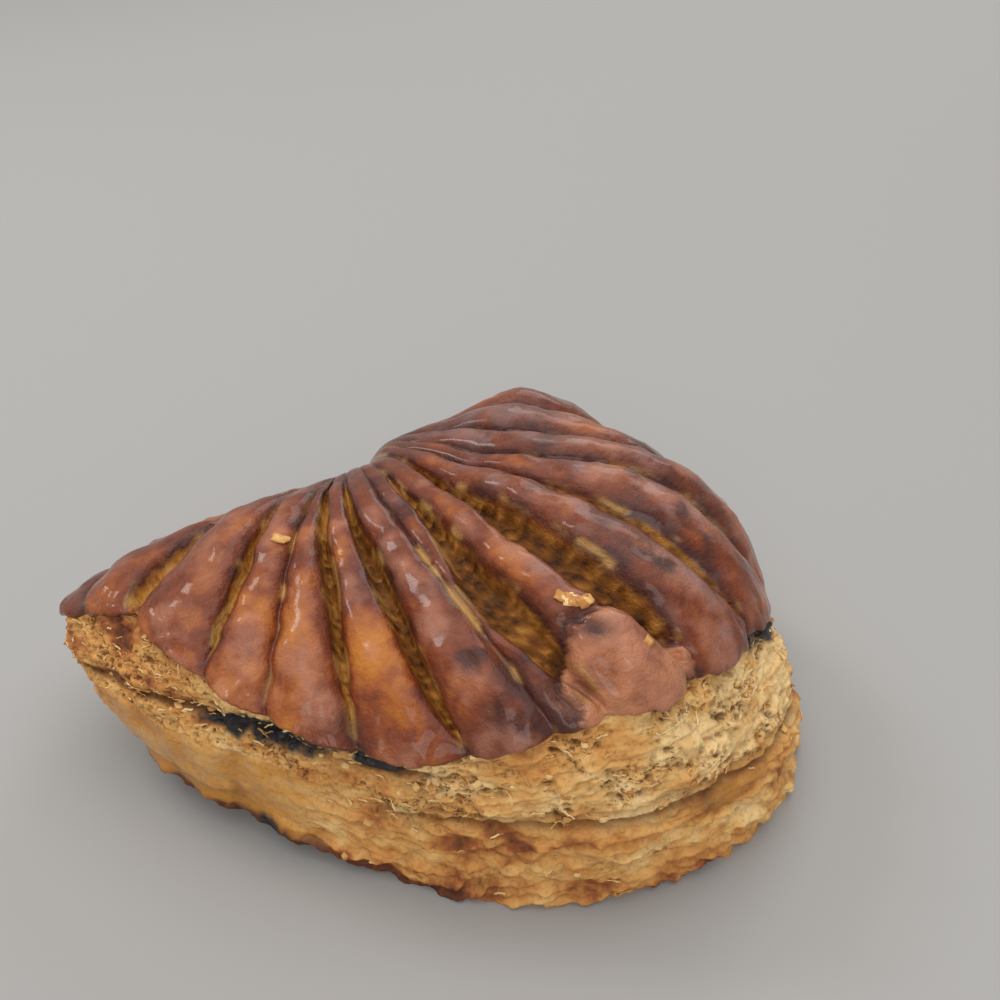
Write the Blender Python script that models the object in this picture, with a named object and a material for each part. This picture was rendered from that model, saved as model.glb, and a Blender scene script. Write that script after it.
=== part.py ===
"""A baked turnover: a half-moon of puff pastry with a fan of cuts in its crust.

The fold runs along +X, from the raised tip at -X to the blunt tip at +X, and
lies at +Y. The curved, layered rim faces -Y, and the pastry rests on its sole
at Z = 0. Design sizes are millimetres, and the mesh is built in metres.
"""

from dataclasses import dataclass

import bmesh
import bpy
import numpy as np

MM = 0.001

# Middle of the pastry's bounding box, to the nearest half millimetre, measured from the point
# that the stations turn about.
BOX_MIDDLE = (-3.3, -21.68)

# The cuts fan out from this point, which lies on the wall of the fold, and their paths
# are arcs round a point in the heart of the pastry.
FOCUS = (-5.0, 23.0)
HEART = (0.0, -15.0, 15.0)
FARTHEST = 130.0
HALVINGS = 34

# Height of the crown above the sole, and how it leans towards the blunt tip and the fold.
CROWN_HEIGHT = 61.0
CROWN_LEAN_X = 0.105
CROWN_LEAN_Y = -0.12

# A ridge between two cuts rises by this share of its width, up to a limit. The smooth
# crust lies this far below the height that the crown and the stations give.
RIDGE_SHARE = 0.24
RIDGE_LIMIT = 2.8
RIDGE_SHOULDER = 0.16
RIDGE_SINK = 1.9
RIDGE_FADE = 0.35

# The crust ends in a lip that hangs over the layered side, lower on each ridge.
LIP_DROOP = 1.6
LIP_OVERHANG = 1.3
FLUTE_FADE = 4

# Two seams run round the layered side. At each of these angles, a seam lies at this share
# of the side's height, counted from the lip.
UPPER_SEAM_DEPTH = 1.6
LOWER_SEAM_DEPTH = 2.6
SEAM_HALF_WIDTH = 0.09
UPPER_SEAM_ANGLES = (165.0, 180.0, 200.0, 220.0, 240.0)
UPPER_SEAM_SHARES = (0.42, 0.36, 0.27, 0.21, 0.12)
LOWER_SEAM_ANGLES = (215.0, 250.0, 300.0, 350.0)
LOWER_SEAM_SHARES = (0.43, 0.45, 0.5, 0.55)

# The sole is flat up to this far inside the foot, and farther where the foot is lifted.
SOLE_INSET = 4.0
SOLE_SLOPE = 2.0

# Mesh rings from the focus to the lip, down the side, and across the sole.
CRUST_RINGS = 25
SIDE_SHARES = (0.03, 0.12, 0.22, 0.3, 0.38, 0.46, 0.56, 0.75, 1.0)
SOLE_RINGS = 2
RING_CROWDING = 1.6

# Where the columns between two neighbouring cuts lie, as shares of the gap.
COLUMN_SHARES = (0.0, 0.14, 0.31, 0.5, 0.69, 0.86)
FOLD_COLUMNS = 42

CRUST_COLOUR = (0.33, 0.105, 0.05, 1.0)
CRUST_ROUGHNESS = 0.42


@dataclass(frozen=True)
class Station:
    """The pastry's section at one angle about the middle.

    Attributes:
        angle: Direction in degrees, from +X towards +Y.
        reach: Distance out to the crust's lip.
        lip: Height of the lip.
        foot: Distance out to the foot of the side.
        lift: Height of the foot above the floor.
        bulge: How far the side swells between lip and foot.
        square: Exponent of the crust's fall; a larger one keeps the crown flat for longer.
        plunge: Exponent of its last drop; a smaller one makes the edge steeper.
    """

    angle: float
    reach: float
    lip: float
    foot: float
    lift: float
    bulge: float
    square: float
    plunge: float


STATIONS = (
    Station(0, 69, 15, 67, 0, 3.0, 3.35, 0.80),
    Station(30, 63, 24, 64, 8, 2.5, 3.45, 0.50),
    Station(46, 48, 17, 37, 6, 1.5, 3.1, 0.48),
    Station(65, 36, 12, 26, 4, 0.5, 3.9, 0.42),
    Station(90, 33, 10, 21, 3, 0.5, 4.1, 0.54),
    Station(112, 30, 9, 21, 3, 1.0, 3.4, 0.60),
    Station(135, 44, 16, 33, 7, 2.0, 2.8, 0.63),
    Station(150, 73, 24, 51, 13, 6.0, 2.2, 0.78),
    Station(164, 80, 34, 55, 11, 11.0, 2.55, 0.57),
    Station(180, 68, 45, 67, 7, 8.0, 2.55, 0.59),
    Station(210, 64, 41, 61, 5, 1.0, 1.7, 0.82),
    Station(240, 65, 36, 64, 0, 1.5, 2.3, 0.78),
    Station(270, 74, 47, 77, 0, 5.5, 2.8, 0.74),
    Station(300, 75, 40, 86, 0, 5.5, 2.8, 0.77),
    Station(330, 75, 27, 78, 0, 3.0, 3.15, 0.71),
)


@dataclass(frozen=True)
class Cut:
    """One baked-open cut, which leaves the focus and bows on its way out to the rim.

    Attributes:
        rim: Bearing from the focus of its end on the lip, in degrees.
        bow: How far it bows sideways half-way out, in degrees about the heart.
        start: Share of the way out where the cut opens.
        end: Share where it closes.
        half_width: Half of its width where it is widest.
        depth: Depth below the valley between its ridges.
    """

    rim: float
    bow: float
    start: float
    end: float
    half_width: float
    depth: float


CUTS = (
    Cut(190, -10.0, 0.55, 1.0, 1.4, 2.0),
    Cut(202, -2.0, 0.35, 1.0, 2.6, 3.0),
    Cut(220, 5.0, 0.30, 0.95, 2.4, 3.6),
    Cut(231, 6.5, 0.40, 1.0, 0.9, 1.5),
    Cut(244, 3.5, 0.30, 0.98, 1.8, 3.6),
    Cut(257, -1.0, 0.30, 1.0, 2.4, 5.0),
    Cut(266, -3.5, 0.40, 0.95, 0.8, 1.2),
    Cut(272, -5.0, 0.30, 0.95, 3.6, 5.0),
    Cut(283, -7.5, 0.25, 1.0, 4.0, 5.5),
    Cut(298, -14.0, 0.40, 1.0, 2.0, 2.4),
    Cut(310, -20.0, 0.35, 0.98, 1.4, 2.0),
    Cut(321, -20.0, 0.30, 0.95, 1.4, 2.2),
    Cut(333, -16.0, 0.25, 0.8, 1.0, 1.6),
    Cut(345, -8.0, 0.25, 0.9, 1.0, 1.8),
    Cut(353, -4.0, 0.30, 0.95, 1.0, 1.6),
    Cut(362, -1.0, 0.45, 1.0, 1.6, 2.4),
)

# Bearings on the blunt and the pointed tip, between which the columns behind the cuts are straight.
FOLD_BEARINGS = (385.0, 470.0)

CUT_RIM = np.array([cut.rim for cut in CUTS], dtype=float)
TURN = 360.0


def smooth_step(low, high, value):
    """Return a soft rise from 0 at low to 1 at high."""
    share = np.clip((value - low) / (high - low), 0.0, 1.0)
    return share * share * (3.0 - 2.0 * share)


def station_value(angle, name):
    """Return a station quantity at any angle, on a smooth closed curve through the stations."""
    knots = np.array([station.angle for station in STATIONS], dtype=float)
    values = np.array([getattr(station, name) for station in STATIONS], dtype=float)
    knots = np.concatenate([knots[-2:] - TURN, knots, knots[:2] + TURN])
    values = np.concatenate([values[-2:], values, values[:2]])
    slopes = (values[2:] - values[:-2]) / (knots[2:] - knots[:-2])
    knots, values = knots[1:-1], values[1:-1]
    turned = np.mod(angle, TURN)
    index = np.clip(np.searchsorted(knots, turned, side="right") - 1, 0, len(knots) - 2)
    width = knots[index + 1] - knots[index]
    share = (turned - knots[index]) / width
    square, cube = share**2, share**3
    start = (2 * cube - 3 * square + 1) * values[index]
    start += (cube - 2 * square + share) * width * slopes[index]
    finish = (3 * square - 2 * cube) * values[index + 1]
    finish += (cube - square) * width * slopes[index + 1]
    return start + finish


def lifted(angle):
    """Return how high the foot stands above the floor at an angle."""
    return np.maximum(station_value(angle, "lift"), 0.0)


def rim_reach(bearing):
    """Return the plan distance from the focus to the lip at a bearing."""
    angle = np.arange(0.0, TURN, 0.5)
    reach = station_value(angle, "reach")
    x = reach * np.cos(np.radians(angle)) - FOCUS[0]
    y = reach * np.sin(np.radians(angle)) - FOCUS[1]
    found = np.mod(np.degrees(np.arctan2(y, x)), TURN)
    order = np.argsort(found)
    return np.interp(np.mod(bearing, TURN), found[order], np.hypot(x, y)[order], period=TURN)


def crust_height(x, y):
    """Return the height of the smooth crust, without its ridges, above the sole."""
    angle = np.degrees(np.arctan2(y, x))
    share = np.clip(np.hypot(x, y) / station_value(angle, "reach"), 0.0, 1.0)
    crown = CROWN_HEIGHT + CROWN_LEAN_X * x + CROWN_LEAN_Y * (y + 15.0)
    fall = (1.0 - share ** station_value(angle, "square")) ** station_value(angle, "plunge")
    lip = station_value(angle, "lip")
    return lip + (crown - lip) * fall


def column_bearings():
    """Return the rim bearing of each mesh column, once round from the first cut."""
    gaps = zip(CUT_RIM[:-1], CUT_RIM[1:])
    cut_side = [low + share * (high - low) for low, high in gaps for share in COLUMN_SHARES]
    fold = np.linspace(CUT_RIM[-1], CUT_RIM[0] + TURN, 400)
    reach = rim_reach(fold)
    x, y = reach * np.cos(np.radians(fold)), reach * np.sin(np.radians(fold))
    walked = np.concatenate([[0.0], np.cumsum(np.hypot(np.diff(x), np.diff(y)))])
    stops = np.linspace(0.0, walked[-1], FOLD_COLUMNS, endpoint=False)
    return np.concatenate([cut_side, np.interp(stops, walked, fold)])


def lip_points(rim):
    """Return the points of the lip at these bearings from the focus."""
    reach = rim_reach(rim)
    x = FOCUS[0] + reach * np.cos(np.radians(rim))
    y = FOCUS[1] + reach * np.sin(np.radians(rim))
    return np.stack([x, y, station_value(np.degrees(np.arctan2(y, x)), "lip")], axis=-1)


def unit(vectors):
    """Return the vectors at a length of one."""
    return vectors / np.maximum(np.linalg.norm(vectors, axis=-1, keepdims=True), 1e-9)


def crust_hit(directions):
    """Return where rays from the heart meet the smooth crust."""
    low = np.zeros(directions.shape[:-1])
    high = np.full(directions.shape[:-1], FARTHEST)
    for _ in range(HALVINGS):
        middle = (low + high) / 2
        x, y, z = np.moveaxis(HEART + directions * middle[..., None], -1, 0)
        reach = station_value(np.degrees(np.arctan2(y, x)), "reach")
        inside = (np.hypot(x, y) < reach) & (z < crust_height(x, y))
        low, high = np.where(inside, middle, low), np.where(inside, high, middle)
    return HEART + directions * low[..., None]


def fan_points(rim, share):
    """Return points of the smooth crust on the paths that end at these rim bearings."""
    knots = np.concatenate([CUT_RIM, FOLD_BEARINGS, [CUT_RIM[0] + TURN]])
    bows = [cut.bow for cut in CUTS]
    bow = np.radians(np.interp(rim, knots, bows + [0.0, 0.0, bows[0]]))
    first = unit(np.array([*FOCUS, crust_height(*np.array(FOCUS))]) - HEART)
    last = unit(lip_points(rim) - HEART)
    whole = np.arccos(np.clip((first * last).sum(axis=-1), -1.0, 1.0))
    ways = np.stack([np.sin(whole * (1 - share)), np.sin(whole * share)]) / np.sin(whole)
    aside = unit(np.cross(np.broadcast_to(first, last.shape), last))
    directions = first * ways[0][..., None] + last * ways[1][..., None]
    directions += aside * (bow * 4.0 * share * (1.0 - share))[..., None]
    return crust_hit(unit(directions))


def cut_distances(points, row_shares):
    """Return the distance from each point to each cut's path, at the same share of the way out."""
    paths = [fan_points(np.full_like(row_shares, cut.rim), row_shares) for cut in CUTS]
    return np.stack([np.linalg.norm(points - path, axis=-1) for path in paths])


def ridge_height(distances, share):
    """Return how far the ridges stand above the valleys of the crust."""
    nearest, second = np.sort(distances, axis=0)[:2]
    width = nearest + second
    shoulder = np.clip(RIDGE_SHOULDER * width, 0.05, RIDGE_LIMIT)
    sides = (1 - np.exp(-nearest / shoulder)) * (1 - np.exp(-second / shoulder))
    height = np.minimum(RIDGE_SHARE * width, RIDGE_LIMIT)
    return height * sides * smooth_step(0.0, RIDGE_FADE, share)


def cut_depth(distances, share):
    """Return how deep the open cuts go below the valleys of the crust."""
    depth = np.zeros_like(share)
    for cut, aside in zip(CUTS, distances):
        opening = smooth_step(cut.start - 0.1, cut.start + 0.15, share)
        opening = opening * (1 - smooth_step(cut.end - 0.15, cut.end, share))
        wall = 1 - smooth_step(0.55, 1.1, aside / (cut.half_width * np.maximum(opening, 0.05)))
        depth = np.maximum(depth, cut.depth * opening * wall)
    return depth


def outward_normals(points):
    """Return unit normals of a grid of points whose columns run round and rows run out."""
    along = np.gradient(points, axis=1)
    across = np.roll(points, -1, axis=0) - np.roll(points, 1, axis=0)
    normals = np.cross(along, across)
    length = np.linalg.norm(normals, axis=2, keepdims=True)
    return normals / np.maximum(length, 1e-9)


def crust_grid():
    """Return the crust's points, with one column per bearing and one row per ring."""
    ring = np.linspace(0.0, 1.0, CRUST_RINGS + 1)
    row_shares = 1.0 - (1.0 - ring) ** RING_CROWDING
    share, rim = np.meshgrid(row_shares, column_bearings())
    points = fan_points(rim, share)
    distances = cut_distances(points, row_shares)
    ridges = ridge_height(distances, share)
    sink = RIDGE_SINK * smooth_step(0.0, RIDGE_FADE, share)
    relief = ridges - sink - cut_depth(distances, share)
    normals = outward_normals(points)
    points += normals * relief[..., None]
    points[..., 2] -= LIP_DROOP * smooth_step(0.9, 1.0, share) * ridges / RIDGE_LIMIT
    points[:, 0] = fan_points(CUT_RIM[:1], np.zeros(1))[0]
    return points


def seam_groove(angle, share):
    """Return how far the two seams cut into the side."""
    turned = np.mod(angle, TURN)
    upper = smooth_step(158.0, 172.0, turned) * (1 - smooth_step(232.0, 248.0, turned))
    lower = smooth_step(222.0, 250.0, turned) * (1 - smooth_step(345.0, 358.0, turned))
    upper_share = np.interp(turned, UPPER_SEAM_ANGLES, UPPER_SEAM_SHARES)
    lower_share = np.interp(turned, LOWER_SEAM_ANGLES, LOWER_SEAM_SHARES)
    upper_fall = np.exp(-(((share - upper_share) / SEAM_HALF_WIDTH) ** 2))
    lower_fall = np.exp(-(((share - lower_share) / SEAM_HALF_WIDTH) ** 2))
    return UPPER_SEAM_DEPTH * upper * upper_fall + LOWER_SEAM_DEPTH * lower * lower_fall


def side_point(lip, share):
    """Return the ring of the side at a share of the way from the lip to the foot."""
    angle = np.degrees(np.arctan2(lip[:, 1], lip[:, 0]))
    smooth_reach, smooth_lip = station_value(angle, "reach"), station_value(angle, "lip")
    flute = (1.0 - share) ** FLUTE_FADE
    top = smooth_reach - LIP_OVERHANG
    top += (np.hypot(lip[:, 0], lip[:, 1]) - smooth_reach) * flute
    rim = smooth_lip + (lip[:, 2] - smooth_lip) * flute
    foot, lift = station_value(angle, "foot"), lifted(angle)
    reach = top + (foot - top) * share
    reach += station_value(angle, "bulge") * np.sin(np.pi * share)
    reach -= seam_groove(angle, share)
    height = rim + (lift - rim) * share
    return ring_at(angle, reach, height)


def sole_point(angle, share):
    """Return a ring of the flat sole, at a share of the way from its edge to its middle."""
    inset = SOLE_INSET + SOLE_SLOPE * lifted(angle)
    reach = (station_value(angle, "foot") - inset) * (1.0 - share)
    return ring_at(angle, reach, np.zeros_like(reach))


def ring_at(angle, reach, height):
    """Return points at these angles, distances and heights."""
    x = reach * np.cos(np.radians(angle))
    y = reach * np.sin(np.radians(angle))
    return np.stack([x, y, height], axis=1)


def pastry_rings():
    """Return every ring of points, from the focus on the crust to the middle of the sole."""
    crust = crust_grid()
    rings = [crust[:, row] for row in range(crust.shape[1])]
    lip = rings[-1]
    angle = np.degrees(np.arctan2(lip[:, 1], lip[:, 0]))
    rings += [side_point(lip, share) for share in SIDE_SHARES]
    rings += [sole_point(angle, ring / SOLE_RINGS) for ring in range(SOLE_RINGS + 1)]
    return rings


def build_mesh():
    """Return the closed pastry: a sphere whose rings are laid over the design's rings."""
    rings = pastry_rings()
    columns, ring_count = len(rings[0]), len(rings) - 1
    shape = bmesh.new()
    bmesh.ops.create_uvsphere(shape, u_segments=columns, v_segments=ring_count, radius=1.0)
    for vert in shape.verts:
        turn = np.arctan2(vert.co.y, vert.co.x) / (2 * np.pi)
        column = int(round(turn * columns)) % columns
        ring = int(round(np.arccos(np.clip(vert.co.z, -1.0, 1.0)) / np.pi * ring_count))
        x, y, z = rings[ring][column]
        vert.co = ((x - BOX_MIDDLE[0]) * MM, (y - BOX_MIDDLE[1]) * MM, z * MM)
    bmesh.ops.triangulate(shape, faces=shape.faces)
    bmesh.ops.recalc_face_normals(shape, faces=shape.faces)
    mesh = bpy.data.meshes.new("turnover")
    shape.to_mesh(mesh)
    shape.free()
    mesh.shade_smooth()
    return mesh


def crust_material():
    """Return the browned crust's material."""
    material = bpy.data.materials.new("browned_crust")
    material.use_nodes = True
    shader = material.node_tree.nodes["Principled BSDF"]
    shader.inputs["Base Color"].default_value = CRUST_COLOUR
    shader.inputs["Roughness"].default_value = CRUST_ROUGHNESS
    shader.inputs["Metallic"].default_value = 0.0
    return material


def main():
    """Clear the scene and build the turnover in a collection of its own."""
    for old in list(bpy.data.objects):
        bpy.data.objects.remove(old, do_unlink=True)
    collection = bpy.data.collections.new("turnover")
    bpy.context.scene.collection.children.link(collection)
    mesh = build_mesh()
    mesh.materials.append(crust_material())
    collection.objects.link(bpy.data.objects.new("turnover", mesh))


main()
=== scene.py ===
"""Visual model of a baked puff-pastry turnover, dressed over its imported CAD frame.

The pastry is a half-moon folded along +X. A fan of cuts opens in its glazed crust,
and its layered rim faces -Y. Sizes are in millimetres about the point that the
outline's stations turn about, and every mesh is placed in metres.
"""

from __future__ import annotations

import logging
import math
from dataclasses import dataclass, field
from enum import Enum
from typing import Callable

import bpy
import numpy as np
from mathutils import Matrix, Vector

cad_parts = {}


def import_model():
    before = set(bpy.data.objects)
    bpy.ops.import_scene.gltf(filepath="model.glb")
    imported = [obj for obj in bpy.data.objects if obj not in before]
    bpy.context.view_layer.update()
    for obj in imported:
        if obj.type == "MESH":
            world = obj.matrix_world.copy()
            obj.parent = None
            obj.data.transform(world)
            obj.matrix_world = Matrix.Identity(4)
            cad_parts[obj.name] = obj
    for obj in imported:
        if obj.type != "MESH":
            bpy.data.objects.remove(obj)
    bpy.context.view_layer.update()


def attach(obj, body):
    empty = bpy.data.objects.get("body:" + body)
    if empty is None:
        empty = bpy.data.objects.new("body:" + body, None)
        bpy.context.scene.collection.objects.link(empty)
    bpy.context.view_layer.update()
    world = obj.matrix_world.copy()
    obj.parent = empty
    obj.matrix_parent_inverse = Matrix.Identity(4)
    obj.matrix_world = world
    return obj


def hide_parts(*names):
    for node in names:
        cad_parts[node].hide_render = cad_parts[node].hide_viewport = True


LOG = logging.getLogger("turnover")
MM = 0.001
TURN = 360.0
Array = np.ndarray


class Slot(Enum):
    """Material slots of the record that the pieces take their finish from."""

    CRUST = "browned_crust"
    CRUMB = "cut_crumb"
    LAYERS = "layered_side"


def smooth_step(low: float, high: float, value: Array) -> Array:
    """Rise softly from 0 at low to 1 at high.

    Args:
        low: Where the rise starts.
        high: Where it ends.
        value: The values to read.

    Returns:
        The share of the rise at each value.
    """
    share = np.clip((value - low) / (high - low), 0.0, 1.0)
    return share * share * (3.0 - 2.0 * share)


def hill(value: Array, centre: float, width: float) -> Array:
    """Return a bell of height 1 round a centre."""
    return np.exp(-(((value - centre) / width) ** 2))


def turn_hill(angle: Array, centre: float, width: float) -> Array:
    """Return a bell of height 1 round a direction, in degrees."""
    away = np.mod(angle - centre + TURN / 2, TURN) - TURN / 2
    return np.exp(-((away / width) ** 2))


def unit(vectors: Array) -> Array:
    """Return the vectors at a length of one."""
    return vectors / np.maximum(np.linalg.norm(vectors, axis=-1, keepdims=True), 1e-9)


class Grain:
    """Seeded noise over points in space, for every uneven thing an oven makes."""

    PRIMES = (73856093, 19349663, 83492791)

    @classmethod
    def hashed(cls, cells: Array, seed: int) -> Array:
        """Return a number from 0 to 1 for each whole-numbered cell.

        Args:
            cells: Cell indices, with x, y and z in the last axis.
            seed: Which pattern to draw.

        Returns:
            One number for each cell.
        """
        whole = cells.astype(np.int64)
        mixed = whole[..., 0] * cls.PRIMES[0] ^ whole[..., 1] * cls.PRIMES[1]
        mixed = mixed ^ whole[..., 2] * cls.PRIMES[2] ^ (seed * 2654435761)
        mixed = (mixed ^ (mixed >> 13)) * 1274126177 & 0x7FFFFFFF
        mixed = (mixed ^ (mixed >> 11)) * 668265263 & 0x7FFFFFFF
        return ((mixed ^ (mixed >> 15)) & 0xFFFFF) / float(0xFFFFF)

    @classmethod
    def soft(cls, points: Array, size: tuple[float, float, float], seed: int) -> Array:
        """Return soft lumps from -1 to 1.

        Args:
            points: Points in millimetres.
            size: Size of a lump along x, y and z.
            seed: Which pattern to draw.

        Returns:
            One number for each point.
        """
        place = points / np.array(size)
        base = np.floor(place)
        part = place - base
        blend = part * part * (3.0 - 2.0 * part)
        total = np.zeros(points.shape[:-1])
        for corner in np.ndindex(2, 2, 2):
            step = np.array(corner, dtype=float)
            weight = np.prod(np.where(step > 0, blend, 1.0 - blend), axis=-1)
            total += weight * cls.hashed(base + step, seed)
        return total * 2.0 - 1.0

    @classmethod
    def rough(
        cls, points: Array, size: tuple[float, float, float], seed: int, layers: int = 4
    ) -> Array:
        """Return lumps on lumps, each layer half the size of the last.

        Args:
            points: Points in millimetres.
            size: Size of the largest lump along x, y and z.
            seed: Which pattern to draw.
            layers: How many sizes of lump.

        Returns:
            One number for each point, mostly from -1 to 1.
        """
        total = np.zeros(points.shape[:-1])
        span = np.array(size)
        for layer in range(layers):
            total += cls.soft(points + 31.7 * layer, tuple(span), seed + layer) * 0.55**layer
            span = span * 0.5
        return total / 1.5

    @classmethod
    def pores(cls, points: Array, size: tuple[float, float, float], seed: int) -> tuple[Array, Array]:
        """Return the distance to the nearest pore centre, and that pore's own number.

        Args:
            points: Points in millimetres.
            size: Size of a pore's cell along x, y and z.
            seed: Which pattern to draw.

        Returns:
            The distance in cells, and a number from 0 to 1 for each point's pore.
        """
        place = points / np.array(size)
        base = np.floor(place)
        nearest = np.full(points.shape[:-1], 9.0)
        owner = np.zeros(points.shape[:-1])
        for corner in np.ndindex(3, 3, 3):
            cell = base + np.array(corner, dtype=float) - 1.0
            spots = np.stack([cls.hashed(cell, seed + k) for k in (0, 1, 2)], axis=-1)
            away = np.linalg.norm(cell + spots - place, axis=-1)
            closer = away < nearest
            owner = np.where(closer, cls.hashed(cell, seed + 7), owner)
            nearest = np.minimum(nearest, away)
        return nearest, owner


@dataclass(frozen=True)
class Station:
    """The pastry's section at one angle about the middle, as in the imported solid."""

    angle: float
    reach: float
    lip: float
    foot: float
    lift: float
    bulge: float
    square: float
    plunge: float


@dataclass(frozen=True)
class Cut:
    """One baked-open cut in the crust.

    Attributes:
        rim: Bearing from the focus of its end on the lip, in degrees.
        sway: How far its path swings aside, in degrees, at each share in SHARES.
        gape: Half of its open width at each share in SHARES.
        depth: Depth of its floor below the valley between the ridges.
    """

    SHARES = (0.0, 0.2, 0.4, 0.5, 0.6, 0.7, 0.8, 0.9, 1.0)

    rim: float
    sway: tuple[float, ...]
    gape: tuple[float, ...]
    depth: float

    def gape_at(self, share: Array) -> Array:
        """Return half of the open width at each share of the way out."""
        return np.interp(share, self.SHARES, self.gape)


def bowed(size: float) -> tuple[float, ...]:
    """Return the sway of a cut that simply bows by this many degrees."""
    return tuple(4.0 * size * share * (1.0 - share) for share in Cut.SHARES)


@dataclass(frozen=True)
class PastryForm:
    """The smooth form that the crust and the side are laid over."""

    middle: tuple[float, float] = (-3.25, -22.02)
    focus: tuple[float, float] = (-5.0, 23.0)
    heart: tuple[float, float, float] = (0.0, -15.0, 15.0)
    farthest: float = 130.0
    halvings: int = 30
    crown_height: float = 61.0
    crown_lean: tuple[float, float] = (0.105, -0.12)
    fold_bearings: tuple[float, float] = (385.0, 470.0)
    stations: tuple[Station, ...] = (
        Station(0, 69, 15, 67, 0, 3.0, 3.35, 0.80),
        Station(30, 63, 24, 64, 8, 2.5, 3.45, 0.50),
        Station(46, 48, 17, 37, 6, 1.5, 3.1, 0.48),
        Station(65, 36, 12, 26, 4, 0.5, 3.9, 0.42),
        Station(90, 33, 10, 21, 3, 0.5, 4.1, 0.54),
        Station(112, 30, 9, 21, 3, 1.0, 3.4, 0.60),
        Station(135, 44, 16, 33, 7, 2.0, 2.8, 0.63),
        Station(150, 73, 24, 51, 13, 6.0, 2.2, 0.78),
        Station(164, 80, 34, 55, 11, 11.0, 2.55, 0.57),
        Station(180, 68, 45, 67, 7, 8.0, 2.55, 0.59),
        Station(210, 64, 41, 61, 5, 1.0, 1.7, 0.82),
        Station(240, 65, 36, 64, 0, 1.5, 2.3, 0.78),
        Station(270, 74, 47, 77, 0, 5.5, 2.8, 0.74),
        Station(300, 75, 40, 86, 0, 5.5, 2.8, 0.77),
        Station(330, 75, 27, 78, 0, 3.0, 3.15, 0.71),
    )
    cuts: tuple[Cut, ...] = (
        Cut(190, bowed(-10.0), (0, 0, 0, 0.4, 1.0, 1.4, 1.5, 1.0, 0.3), 2.2),
        Cut(202, bowed(-2.5), (0, 0, 0.8, 1.8, 2.6, 3.2, 3.4, 3.0, 1.8), 2.8),
        Cut(220, (0, 1, 2.5, 3.3, 4.0, 4.6, 3.8, 2.3, 0), (0, 0, 0.3, 0.6, 1.1, 1.6, 1.4, 0.7, 0.1), 3.0),
        Cut(231, bowed(6.5), (0, 0, 0, 0.1, 0.2, 0.2, 0.2, 0.3, 0.2), 1.0),
        Cut(244, (0, 2.4, 4.2, 4.6, 4.9, 4.5, 3.7, 2.3, 0), (0, 0.4, 1.3, 1.6, 1.7, 1.6, 1.3, 0.7, 0.3), 3.2),
        Cut(257, (0, -1.0, -1.2, -1.1, -0.8, -0.4, -0.7, -0.8, 0), (0, 0.3, 1.0, 1.6, 1.9, 1.8, 1.5, 1.2, 0.4), 3.8),
        Cut(266, bowed(-3.5), (0, 0, 0, 0, 0.2, 0.3, 0.3, 0.4, 0.2), 1.0),
        Cut(272, (0, -2.6, -3.7, -4.3, -5.3, -6.4, -5.8, -3.3, -0.6), (0, 0.2, 0.9, 1.6, 2.6, 3.8, 4.6, 3.2, 0.4), 3.9),
        Cut(283, (0, -3.4, -5.6, -5.7, -6.4, -5.8, -4.4, -1.2, 0.4), (0, 0.3, 1.4, 2.6, 3.9, 5.1, 5.2, 4.1, 1.8), 4.3),
        Cut(298, bowed(-14.0), (0, 0, 0.2, 0.4, 0.8, 1.6, 3.1, 2.4, 0.5), 2.6),
        Cut(310, (0, -13, -21, -20.5, -18, -14.0, -11, -8, 0), (0, 0, 0.5, 0.8, 1.0, 1.2, 1.5, 1.0, 0.2), 2.0),
        Cut(321, bowed(-20.0), (0, 0, 0.7, 1.1, 1.3, 1.4, 1.1, 0.6, 0.1), 2.0),
        Cut(333, bowed(-16.0), (0, 0, 0.7, 1.2, 1.2, 0.9, 0.5, 0.2, 0.1), 1.6),
        Cut(345, bowed(-8.0), (0, 0, 0.5, 0.9, 1.1, 1.1, 0.7, 0.3, 0.1), 1.6),
        Cut(353, bowed(-4.0), (0, 0, 0.2, 0.5, 0.8, 1.0, 0.9, 0.5, 0.1), 1.6),
        Cut(362, bowed(-1.0), (0, 0, 0, 0.8, 1.6, 2.0, 1.9, 1.2, 0.3), 2.2),
    )

    def reading(self, angle: Array, name: str) -> Array:
        """Return a station quantity on a smooth closed curve through the stations.

        Args:
            angle: Directions in degrees.
            name: The quantity's name.

        Returns:
            The quantity at each direction.
        """
        knots = np.array([station.angle for station in self.stations], dtype=float)
        values = np.array([getattr(station, name) for station in self.stations], dtype=float)
        knots = np.concatenate([knots[-2:] - TURN, knots, knots[:2] + TURN])
        values = np.concatenate([values[-2:], values, values[:2]])
        slopes = (values[2:] - values[:-2]) / (knots[2:] - knots[:-2])
        knots, values = knots[1:-1], values[1:-1]
        turned = np.mod(angle, TURN)
        index = np.clip(np.searchsorted(knots, turned, side="right") - 1, 0, len(knots) - 2)
        width = knots[index + 1] - knots[index]
        share = (turned - knots[index]) / width
        square, cube = share**2, share**3
        start = (2 * cube - 3 * square + 1) * values[index]
        start += (cube - 2 * square + share) * width * slopes[index]
        finish = (3 * square - 2 * cube) * values[index + 1]
        return start + finish + (cube - square) * width * slopes[index + 1]

    def lifted(self, angle: Array) -> Array:
        """Return how high the foot stands above the floor at an angle."""
        return np.maximum(self.reading(angle, "lift"), 0.0)

    def rim_reach(self, bearing: Array) -> Array:
        """Return the plan distance from the focus to the lip at a bearing."""
        angle = np.arange(0.0, TURN, 0.5)
        reach = self.reading(angle, "reach")
        x = reach * np.cos(np.radians(angle)) - self.focus[0]
        y = reach * np.sin(np.radians(angle)) - self.focus[1]
        found = np.mod(np.degrees(np.arctan2(y, x)), TURN)
        order = np.argsort(found)
        return np.interp(np.mod(bearing, TURN), found[order], np.hypot(x, y)[order], period=TURN)

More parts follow.
